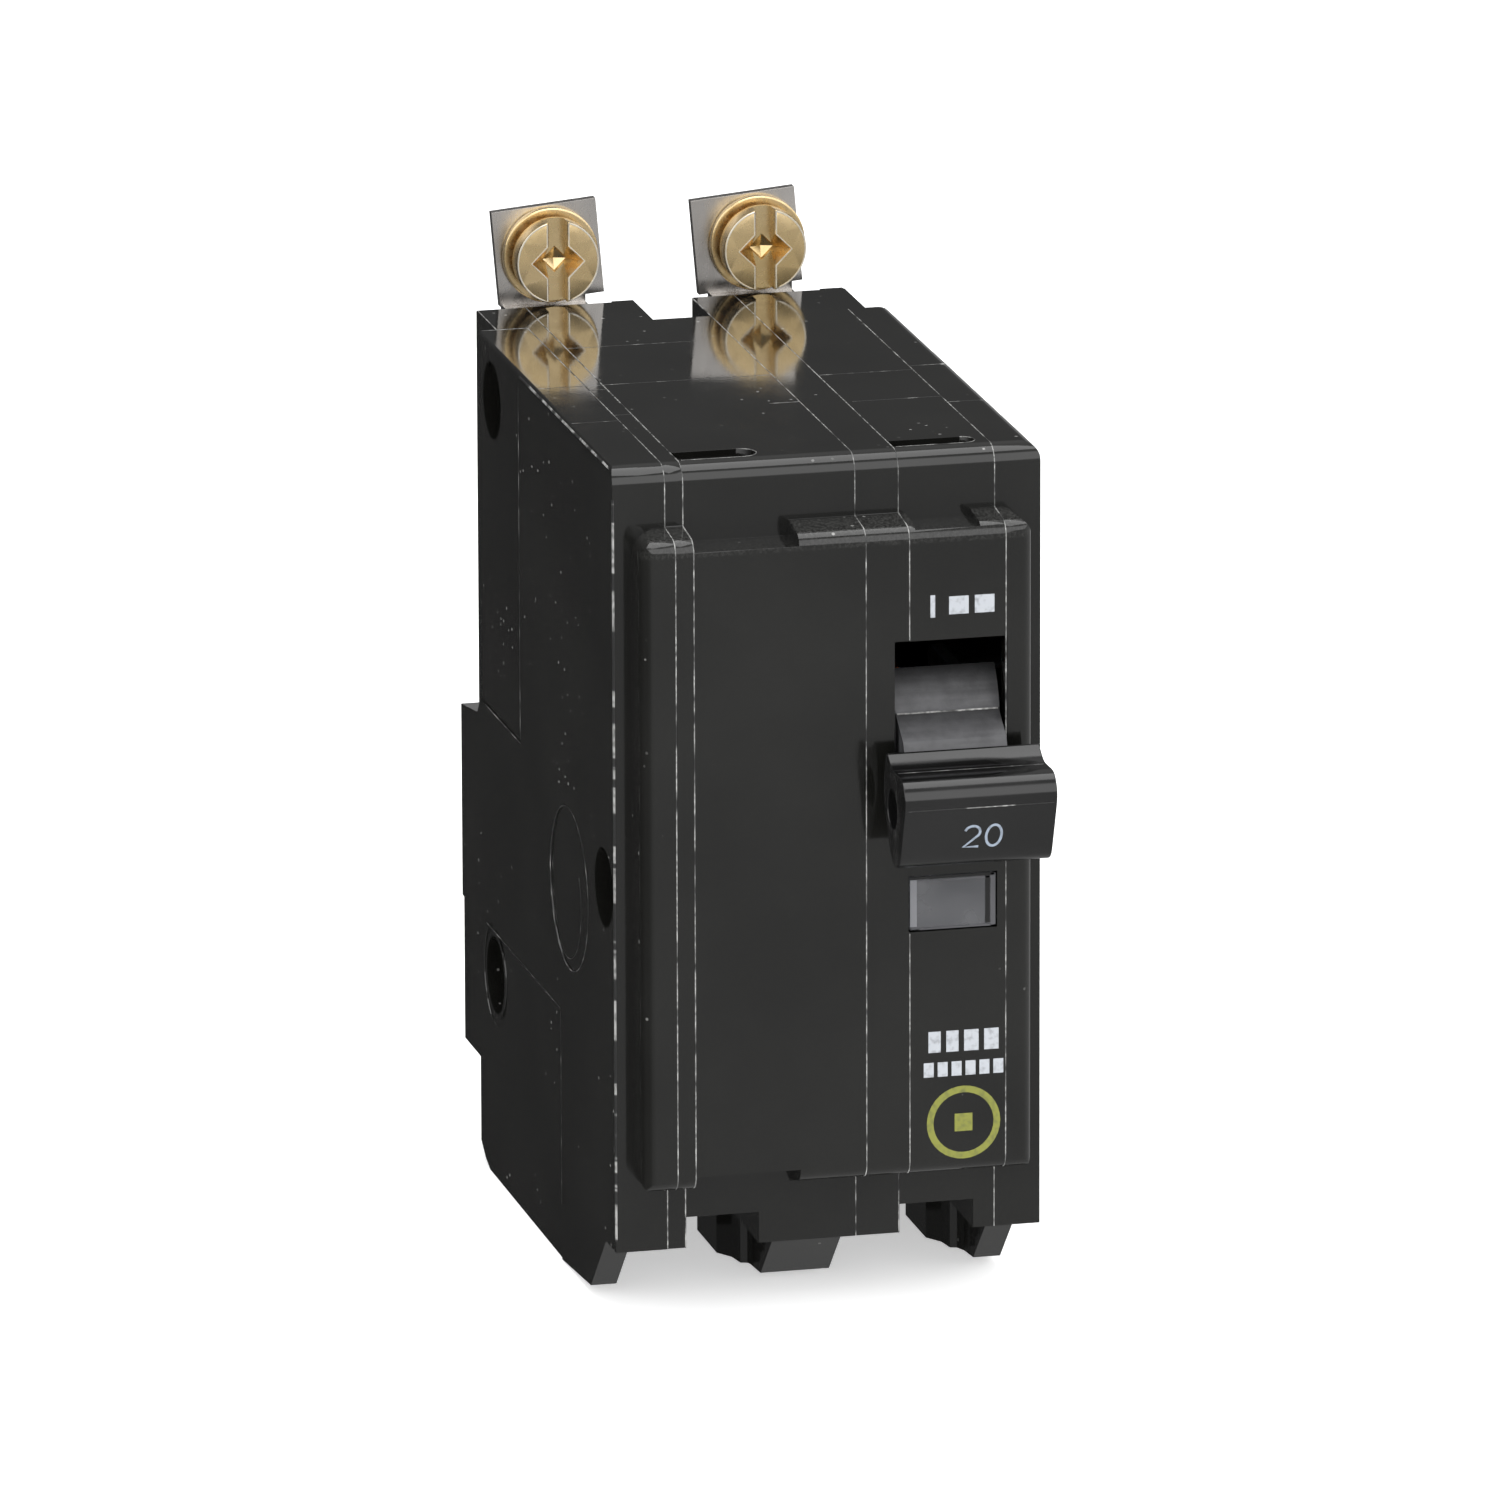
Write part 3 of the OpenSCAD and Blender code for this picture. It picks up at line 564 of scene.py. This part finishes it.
def bead(name, path, normals, width, material, body="case", proud=LINE_PROUD):
    """A fine line of flash laid along a surface path, which may have one normal or one per point."""
    if isinstance(normals, Vector):
        normals = [normals] * len(path)
    verts, faces = [], []
    count = len(path)
    for i, (p, n) in enumerate(zip(path, normals)):
        ahead = path[min(i + 1, count - 1)] - path[max(i - 1, 0)]
        side = ahead.cross(n).normalized() * width * MM / 2
        base, top = p - n * LINE_SUNK * MM, p + n * proud * MM
        verts += [base - side, top - side * 0.6, top + side * 0.6, base + side]
    for i in range(count - 1):
        a, b = 4 * i, 4 * i + 4
        faces += [(a + k, a + k + 1, b + k + 1, b + k) for k in range(3)]
        faces.append((a + 3, a, b, b + 3))
    faces += [(0, 1, 2, 3), (4 * count - 1, 4 * count - 2, 4 * count - 3, 4 * count - 4)]
    return piece(name, verts, faces, material, body)


def profile_path(x, points):
    """(Y, Z, normal Y, normal Z) rows at one X, as points and normals, cut into short steps."""
    path, normals = [], []
    for (y0, z0, a0, b0), (y1, z1, a1, b1) in zip(points, points[1:]):
        steps = max(1, int(math.hypot(y1 - y0, z1 - z0) / 1.5))
        for k in range(steps):
            t = k / steps
            path.append(at(x, y0 + (y1 - y0) * t, z0 + (z1 - z0) * t))
            normals.append(Vector((0, a0 + (a1 - a0) * t, b0 + (b1 - b0) * t)).normalized())
    y, z, a, b = points[-1]
    path.append(at(x, y, z))
    normals.append(Vector((0, a, b)).normalized())
    return path, normals


def corner_rows(y, z, r, start):
    """A quarter turn from an angle in degrees, as surface rows. Its centre is at (Y, Z)."""
    turns = [math.radians(start + 15 * k) for k in range(7)]
    return [(y - r * math.cos(a), z + r * math.sin(a), -math.cos(a), math.sin(a)) for a in turns]


def front_profile(rear):
    """Up the flange, over the raised block, and along the top to the rear, as surface rows."""
    rows = [(0, 0, -1, 0), (0, BLOCK_LO - 0.05, -1, 0), (-0.1, BLOCK_LO + 0.02, 0, -1)]
    back = BLOCK_EDGE - BLOCK_OUT
    rows += corner_rows(back, BLOCK_LO + 0.8 + BLOCK_EDGE, BLOCK_EDGE, -90)
    rows += corner_rows(back, BLOCK_HI - 0.3 - BLOCK_EDGE, BLOCK_EDGE, 0)
    rows += [(-0.1, BLOCK_HI, 0, 1), (0, BLOCK_HI + 0.05, -1, 0)]
    return rows + corner_rows(EDGE_R, CASE_H - EDGE_R, EDGE_R, 0) + [(rear, CASE_H, 0, 1)]


def add_seams():
    """The joints between the shells. The base's joint stops at the window and the lens."""
    for name, x in SEAMS.items():
        rows = front_profile((COVER_END if name.endswith("cover") else REAR_Y) - 0.2)
        if name != "base":
            bead("seam_" + name, *profile_path(x, rows), SEAM_WIDTH, pale_line)
            continue
        low = [r for r in rows if r[1] < LENS[2]] + [(FACE_Y, LENS[2] - 0.1, -1, 0)]
        high = [(FACE_Y, WINDOW[3] + 0.1, -1, 0)] + [r for r in rows if r[1] > WINDOW[3]]
        for part, some in (("low", low), ("high", high)):
            bead("seam_base_" + part, *profile_path(x, some), SEAM_WIDTH, pale_line)


def top_line(name, y, x0, x1, material):
    """A fine line across the top."""
    steps = max(2, int((x1 - x0) / 0.8))
    path = [at(x0 + (x1 - x0) * k / steps, y, CASE_H) for k in range(steps + 1)]
    bead(name, path, UP, 0.11, material)


def add_top_lines():
    """Joints across the top, pale rims of the vents, and the covers' worn upper edges."""
    s = SEAMS
    rows = [
        (17.0, 0.4, s["left_cover"]), (30.0, 0.4, s["poles"]), (43.9, s["pole_1_frame"], 18.0),
        (28.8, s["base"], s["right_cover"]), (18.7, 26.0, s["right_cover"]),
        (30.2, s["right_cover"], 37.3), (16.5, s["right_cover"], 37.3),
        (28.4, s["left_cover"], s["pole_1_frame"]), (19.0, s["left_cover"], s["pole_1_frame"]),
        (19.8, 18.8, s["poles"]),
    ]
    for i, (y, x0, x1) in enumerate(rows):
        top_line(f"top_line_{i}", y, x0, x1, faint_line)
    top_line("cover_end", COVER_END - 0.1, 0.5, s["left_cover"], pale_line)
    frame_edge = [at(1.82, COVER_END + 0.1 + 0.6 * k, CASE_H) for k in range(13)]
    bead("frame_edge", frame_edge, UP, SEAM_WIDTH, pale_line)
    vents = ((s["pole_1_frame"], 12.1, 3.3, 1.45), (s["base"], 31.9, 3.02, 1.07))
    for i, (x, centre, y, r) in enumerate(vents):
        rim = [(x + 0.3, y - r), (centre, y - r)] + arc(centre, y, r, r, -90, 90, 15)
        path = [at(u, v, CASE_H) for u, v in stretch(*rim[:2])[:-1] + rim[1:]]
        bead(f"vent_rim_{i}", path, UP, 0.12, pale_line)
    edges = (
        ("left", 0.12, 0.3, (-0.93, 0, 0.37), 0.28),
        ("right", CASE_W - 0.38, 0.38, (0.71, 0, 0.71), 0.16),
    )
    for side, x, drop, normal, width in edges:
        along = [EDGE_R + (PANEL_Y - EDGE_R) * k / 60 for k in range(61)]
        path = [at(x, y, CASE_H - drop) for y in along]
        bead(f"worn_top_{side}", path, Vector(normal), width, chipped_line)


# ---------------------------------------------------------------- handle

GRIP = [
    (-5.9, 45.4), (-6.9, 44.6), (-7.6, 44.2), (-8.3, 44), (-10.1, 44.05), (-11, 44.05), (-11.7, 43.75),
    (-12.2, 43.2), (-12.5, 42.6), (-12.55, 42), (-12.4, 41.3), (-11.5, 38.8), (-10.7, 36.6), (-10.3, 36.1),
    (-9.7, 35.75), (-8.7, 35.65), (-8, 35.85), (-7.5, 36.3), (-6.6, 37.5), (-5.5, 39.9), (-4.85, 41.5),
    (-5.1, 43.4),
]
NECK = [
    (-1.6, 49.1), (-2.2, 48.3), (-2.8, 47.5), (-4, 46.6), (-5.7, 45.5), (-5.6, 43), (-5.2, 41), (-3.6, 40),
    (-1, 40.9), (4, 44), (4, 48),
]
GRIP_HALF, GRIP_SHIFT, NECK_HALF, HOOD_HALF = 6.8, 0.52, 4.6, 4.7
HOOD_R, HOOD_IN, HOOD_TOP, HOOD_CUT, SHAFT_R = 7.8, 4.6, 138, 3.4, 1.62
TIE_HOLE = (-7.9, 40.6)
TIE_R = 1.75
CHEEK, CHEEKS_AT = 1.2, (-3.6, 2.4)


def arc(u, v, ru, rv, start, end, step=10):
    """Points on a stretch of an ellipse about (u, v), between two angles in degrees."""
    count = max(2, round(abs(end - start) / step))
    turns = [math.radians(start + (end - start) * k / count) for k in range(count + 1)]
    return [(u + ru * math.cos(a), v + rv * math.sin(a)) for a in turns]


def disc(centre, r, step=10, start=0, end=360):
    """Points around a circle, or on an arc of it. A whole turn has no point twice."""
    points = arc(*centre, r, r, start, end, step)
    return points[:-1] if end - start == 360 else points


def crank():
    """The cheek that drives a contact arm, seen along the shaft."""
    def spoke(r, degrees):
        a = math.radians(degrees)
        return (PIVOT[0] + r * math.cos(a), PIVOT[1] + r * math.sin(a))
    corners = ((3.2, 100), (8.6, 24), (9.1, 17), (8.6, 10), (3.2, -66), (3.2, -140), (3.2, 170))
    return [spoke(*corner) for corner in corners]


def add_handle():
    """Grip, neck, hood and cheeks in one, with the tie-bar hole and the bore for the shaft."""
    mid = GRIP_MID
    left, right = mid - GRIP_HALF + GRIP_SHIFT, mid + GRIP_HALF + GRIP_SHIFT
    grip = solid(*prism(rounded(GRIP), left, right), grip_plastic)
    neck = solid(*prism(rounded(NECK, 1), mid - NECK_HALF, mid + NECK_HALF), satin_plastic)
    foot = 360 - math.degrees(math.acos(HOOD_CUT / HOOD_R))
    barrel = disc(PIVOT, HOOD_R, 4, HOOD_TOP, foot) + disc(PIVOT, HOOD_IN, 4, HOOD_TOP, foot)[::-1]
    hood = solid(*prism(barrel, mid - HOOD_HALF, mid + HOOD_HALF), satin_plastic)
    cheeks = [solid(*prism(crank(), mid + x, mid + x + CHEEK), satin_plastic) for x in CHEEKS_AT]
    combine(grip, [neck, hood] + cheeks, "UNION")
    bores = [disc(TIE_HOLE, TIE_R, 7.5), disc(PIVOT, SHAFT_R, 10)]
    combine(grip, [solid(*prism(bore, 20, 40)) for bore in bores], "DIFFERENCE")
    ends = (at(left, 0, 0).x, at(right, 0, 0).x)

    def on_ends(edge):
        return all(min(abs(v.co.x - x) for x in ends) < 0.01 * MM for v in edge.verts)

    handle = dress(grip, "toggle_handle", "handle", 0.22, on_ends)
    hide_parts("handle")
    neck_ends = (mid - NECK_HALF + 0.1, mid + NECK_HALF - 0.1)
    grip_ends = (left + 0.3, right - 0.3)
    cross_line("hood_line", (-2.78, HOOD_SEAM), (-0.9, 0.5), neck_ends, 0.16, pale_line)
    cross_line("rib_line", (-8.9, 44.03), (0, 1), grip_ends, 0.12, faint_line)
    cross_line("parting_line", (-12.47, 41.5), (-1, -0.2), grip_ends, 0.1, dotted_line)


def cross_line(name, place, normal, ends, width, material):
    """A fine line across the handle, parallel to its shaft."""
    path = [at(ends[0] + (ends[1] - ends[0]) * k / 24, *place) for k in range(25)]
    bead(name, path, Vector((0, *normal)).normalized(), width, material, "handle")


# ---------------------------------------------------------------- bus screws

HEAD_R, HEAD_FRONT, HEAD_BACK, HEAD_STEP = 3.8, 59.3, 61.2, 62.1
NECK_R, NECK_END, STUD_R, STUD_END = 2.0, 64.2, 2.4, 70.0
SLOT_HALF, SLOT_FLOOR, FLARE, OVERCUT = 0.85, 60.8, 0.14, 0.5
PIT_HALF, PIT_FLOOR_HALF, PIT_FLOOR = 2.3, 1.05, 61.0
THREAD_PITCH, THREAD_DEPTH = 0.79, 0.32


def thread(y, turn):
    """A triangular thread that fades in from the neck and out at the tip."""
    start, end, fade = NECK_END + 0.3, STUD_END - 0.25, 0.6
    if y < start or y > end:
        return 0
    ramp = min(1, (y - start) / fade)
    phase = (y / THREAD_PITCH - turn) % 1
    return -THREAD_DEPTH * ramp * abs(2 * phase - 1)


def pit(x, z):
    """A square pit on its corner, flared at its mouth and narrowing towards its floor."""
    verts, faces = [], []
    rows = (
        (HEAD_FRONT - OVERCUT, PIT_HALF + FLARE + OVERCUT),
        (HEAD_FRONT + FLARE, PIT_HALF),
        (PIT_FLOOR, PIT_FLOOR_HALF),
    )
    for y, half in rows:
        verts += [at(x + half, y, z), at(x, y, z + half), at(x - half, y, z), at(x, y, z - half)]
    verts.append(at(x, PIT_FLOOR + 0.35, z))
    faces.append((0, 1, 2, 3))
    for k in (0, 4):
        faces += [(k + i, k + 4 + i, k + 4 + (i + 1) % 4, k + (i + 1) % 4) for i in range(4)]
    faces += [(8 + i, 12, 8 + (i + 1) % 4) for i in range(4)]
    return solid(verts, faces)


def slot_cut(x, z):
    """The driver slot, flared at its mouth."""
    half, mouth = SLOT_HALF, SLOT_HALF + FLARE + OVERCUT
    left = [(-mouth, HEAD_FRONT - OVERCUT), (-half, HEAD_FRONT + FLARE), (-half, SLOT_FLOOR)]
    across = left + [(-u, y) for u, y in reversed(left)]
    n = len(across)
    verts = [at(x + u, y, w) for w in (z - 5, z + 5) for u, y in across]
    faces = [tuple(range(n)), tuple(range(2 * n - 1, n - 1, -1))]
    faces += [(i, n + i, n + (i + 1) % n, (i + 1) % n) for i in range(n)]
    return solid(verts, faces)


def add_line_screw(pole):
    """A bus screw with its thread, slot and pit, and a painted highlight along its rim."""
    x = SCREW_X + POLE * pole
    body = f"line_screw_{pole + 1}"
    rows = [(HEAD_R - 0.2, HEAD_FRONT), (HEAD_R - 0.05, HEAD_FRONT + 0.06), (HEAD_R, HEAD_FRONT + 0.2),
            (HEAD_R, HEAD_BACK - 0.12), (HEAD_R - 0.12, HEAD_BACK), (HEAD_R - 0.7, HEAD_BACK),
            (HEAD_R - 0.7, HEAD_STEP), (NECK_R, HEAD_STEP), (NECK_R, NECK_END), (STUD_R - 0.2, NECK_END),
            (STUD_R, NECK_END + 0.2)]
    length = STUD_END - 0.5 - NECK_END
    steps = int(length / THREAD_PITCH * 8)
    rows += [(STUD_R, NECK_END + 0.2 + length * k / steps) for k in range(1, steps + 1)]
    rows.append((STUD_R - 0.3, STUD_END))
    screw = solid(*lathe(rows, x, SCREW_Z, thread), brass)
    combine(screw, [slot_cut(x, SCREW_Z), pit(x, SCREW_Z)], "DIFFERENCE")
    dress(screw, f"bus_screw_{pole + 1}", body)
    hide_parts(body)
    # Painted highlight: pale brass beads around each half of the head's face, along the rim, the slot and
    # the pit.
    slot_edge, pit_edge, rim = SLOT_HALF + FLARE, PIT_HALF + FLARE, HEAD_R - 0.14
    start = math.degrees(math.acos(slot_edge / rim))
    inner = [(slot_edge, slot_edge - pit_edge), (pit_edge, 0), (slot_edge, pit_edge - slot_edge)]
    side = arc(0, 0, rim, rim, start, -start, 6) + inner
    for name, way in (("right", 1), ("left", -1)):
        path = [at(x + way * u, HEAD_FRONT, SCREW_Z + w) for u, w in side + side[:1]]
        bead(f"screw_rim_{name}_{pole + 1}", path, FRONT, 0.17, highlight_brass, body, 0.02)


# ---------------------------------------------------------------- prints and fine lines

def block_face(u, v):
    """The front of the raised block."""
    return at(u, FACE_Y, v), FRONT


def grip_face(u, v):
    """The sloping front of the grip."""
    (y1, z1), (y0, z0) = GRIP[10:12]
    slope = (y0 - y1) / (z1 - z0)
    return at(u, y0 - slope * (v - z0), v), Vector((0, -1, -slope)).normalized()


def ribbon(name, points, width, surface, material, body, proud=0.015, closed=False):
    """A printed stroke: a band of even width along a path on a surface."""
    verts, faces = [], []
    count = len(points)
    for i, (u, v) in enumerate(points):
        before = points[(i - 1) % count] if closed or i > 0 else points[i]
        after = points[(i + 1) % count] if closed or i < count - 1 else points[i]
        du, dv = after[0] - before[0], after[1] - before[1]
        size = math.hypot(du, dv)
        du, dv = -dv / size * width / 2, du / size * width / 2
        for lift in (-0.02, proud):
            for side in (-1, 1):
                point, normal = surface(u + side * du, v + side * dv)
                verts.append(point + normal * lift * MM)
    for i in range(count if closed else count - 1):
        a, b = 4 * i, 4 * ((i + 1) % count)
        faces += [(a, a + 1, b + 1, b), (a + 2, b + 2, b + 3, a + 3)]
        faces += [(a, b, b + 2, a + 2), (a + 1, a + 3, b + 3, b + 1)]
    if not closed:
        last = 4 * (count - 1)
        faces += [(0, 2, 3, 1), (last, last + 1, last + 3, last + 2)]
    return piece(name, verts, faces, material, body)


def slanted(points, foot, lean=0.03):
    """Leans figures to the right, from their foot up."""
    return [(u + (v - foot) * lean, v) for u, v in points]


NUMERAL_FOOT, NUMERAL_H, NUMERAL_HALF, NUMERAL_STROKE = 37.65, 2.05, 0.68, 0.23


def add_rating_numeral():
    """A generic two-figure rating on the grip."""
    foot, high, half, bow = NUMERAL_FOOT, NUMERAL_H, NUMERAL_HALF, 0.6
    u = 29.0
    two = arc(u, foot + high - bow, half, bow, 165, -35, 12)
    two += [(u - half, foot + 0.02), (u + half, foot + 0.02)]
    ribbon("numeral_2", slanted(two, foot), NUMERAL_STROKE, grip_face, cool_ink, "handle")
    u = 30.95
    nought = arc(u, foot + high / 2, half, high / 2, 0, 350, 10)
    ribbon("numeral_0", slanted(nought, foot), NUMERAL_STROKE, grip_face, cool_ink, "handle", closed=True)


MARK_MID, ON_Z, RING_Z, RING_MARK_R = 30.2, 57.4, 10.85, 3.0


def block_mark(name, u, z, width, height, ink):
    """A plain block whose left edge is at u and whose middle is at z."""
    ribbon(name, [(u, z), (u + width, z)], height, block_face, ink, "case")


def add_prints():
    """Plain marks: a bar for on with two blocks, two rows of blocks, and a ring with a dot."""
    mid = MARK_MID
    ribbon("on_mark", [(mid - 2.75, ON_Z - 1), (mid - 2.75, ON_Z + 1)], 0.42, block_face, white_ink, "case")
    for k, u in enumerate((mid - 1.3, mid + 1)):
        block_mark(f"on_block_{k}", u, ON_Z, 1.75, 1.6, white_ink)
    rows = ((18.25, 1.9, 0.5, (1.1, 1.1, 1.3, 1.3)), (15.75, 1.3, 0.35, (0.9,) * 6))
    for row, (z, height, gap, widths) in enumerate(rows):
        u = mid - (sum(widths) + gap * (len(widths) - 1)) / 2
        for k, width in enumerate(widths):
            block_mark(f"block_{row}_{k}", u, z, width, height, white_ink)
            u += width + gap
    ring = arc(mid, RING_Z, RING_MARK_R, RING_MARK_R, 0, 350, 10)
    ribbon("ring_mark", ring, 0.6, block_face, yellow_ink, "case", closed=True)
    block_mark("dot_mark", mid - 0.8, RING_Z, 1.6, 1.6, yellow_ink)


LENS_FACE = -3.85


def add_lens_frame():
    """The lens's moulded rim: a frosted bar on the left and thin edges, with painted shade as dark lines
    inside them.
    """
    x0, x1, z0, z1 = LENS[0] + 0.1, LENS[1] - 0.1, LENS[2] + 0.1, LENS[3] - 0.1

    def face(u, v):
        return at(u, LENS_FACE, v), FRONT

    bars = (
        ("left", [(x0 + 0.35, z0 + 0.35), (x0 + 0.35, z1 - 0.3)], 0.6, frosted),
        ("right", [(x1 - 0.22, z0 + 0.1), (x1 - 0.22, z1 - 0.1)], 0.42, lens_edge),
        ("bottom", [(x0 + 0.9, z0 + 0.1), (x1 - 0.45, z0 + 0.1)], 0.16, lens_edge),
        ("top", [(x0 + 0.7, z1 - 0.42), (x1 - 0.45, z1 - 0.42)], 0.14, lens_edge),
        # Painted shade: dark bands under the rim's top edge and inside its right edge.
        ("painted_shade_top", [(x0 + 0.1, z1 - 0.16), (x1 - 0.1, z1 - 0.16)], 0.24, grip_plastic),
        ("painted_shade_right", [(x1 - 0.72, z0 + 0.3), (x1 - 0.72, z1 - 0.3)], 0.42, grip_plastic),
    )
    for name, points, width, material in bars:
        ribbon("lens_" + name, points, width, face, material, "case", proud=0.03)


def side_line(name, points, x, out, width):
    """A fine line through (Y, Z) points on a side of the case."""
    bead(name, [at(x, y, z) for y, z in points], Vector((out, 0, 0)), width, faint_line)


def stretch(a, b, step=1.5):
    """A straight line from a to b in short steps."""
    count = max(2, int(math.hypot(b[0] - a[0], b[1] - a[1]) / step))
    return [(a[0] + (b[0] - a[0]) * k / count, a[1] + (b[1] - a[1]) * k / count) for k in range(count + 1)]


ROUNDEL_AT, ROUNDEL_R = (17.3, 28.3), 7.3
# Ends, as (Y, Z), of the painted highlights along the side panels' steps.
PANEL_LINES = (
    ((PANEL_Y, 37), (PANEL_Y, 69)), ((20.8, 16.2), (20.8, -1.5)), ((20.8, 16.4), (50, 16.4)),
    ((PANEL_Y, 36.6), (50, 36.6)),
)


def add_side_lines():
    """Pale lines on the sides: the roundel, painted highlights along the panels' steps, and the worn front
    corner.
    """
    for side, x, out in (("left", 0.0, -1), ("right", CASE_W, 1)):
        ring = disc(ROUNDEL_AT, ROUNDEL_R, 6)
        side_line(f"roundel_{side}", ring + ring[:1], x, out, 0.1)
        inner = disc((ROUNDEL_AT[0] + 1.5, ROUNDEL_AT[1] - 1), 5.6, 6, 150, 300)
        side_line(f"roundel_in_{side}", inner, x - out * 0.12, out, 0.07)
        # Painted highlights: pale lines along the panels' steps, where the steps catch the light.
        for k, ends in enumerate(PANEL_LINES):
            side_line(f"panel_step_highlight_{side}_{k}", stretch(*ends), x, out, 0.09)
    corner = [at(0.02, 0.02, 1 + 0.6 * k) for k in range(112)]
    bead("worn_corner", corner, Vector((-0.7, -0.7, 0)), 0.24, dashed_line, proud=0.02)


def add_floor():
    """A pale matt floor that glows a little, so that it looks as white as the room."""
    m = Nodes("floor_paint")
    m.colour(m.mix(m.noise(4, 2), (0.86, 0.86, 0.86), (0.88, 0.88, 0.88)))
    m.rough(m.remap(m.noise(30, 2), 0.3, 0.7, 0.7, 0.8))
    m.shader.inputs["Emission Color"].default_value = (1, 1, 1, 1)
    m.shader.inputs["Emission Strength"].default_value = FLOOR_GLOW
    mesh = bpy.data.meshes.new("floor")
    far = FLOOR_SIZE
    corners = [(-far, -far, 0), (far, -far, 0), (far, far, 0), (-far, far, 0)]
    mesh.from_pydata(corners, [], [(0, 1, 2, 3)])
    mesh.materials.append(m.material)
    floor = bpy.data.objects.new("floor", mesh)
    floor.location.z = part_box("left_cover")[0].z
    floor.visible_glossy = False
    bpy.context.collection.objects.link(floor)


# ---------------------------------------------------------------- build

add_camera()
add_world()
area_light("top", (0.05, -0.05, 1.0), 0.8, 5.5)

for node_name, node_obj in NODES.items():
    finish_node(node_name, node_obj)
for node_name in SHELLS:
    soften(node_name, 0.09)
soften("indicator_lens", 0.28, 3)
for pole_number in (0, 1):
    soften(f"screw_collar_{pole_number + 1}", 0.16, 3)
    soften(f"line_strap_{pole_number + 1}", 0.1)

add_handle()
for pole_number in (0, 1):
    add_line_screw(pole_number)
add_seams()
add_top_lines()
add_side_lines()
add_rating_numeral()
add_prints()
add_lens_frame()
add_floor()
bpy.context.scene.view_settings.view_transform = "Standard"
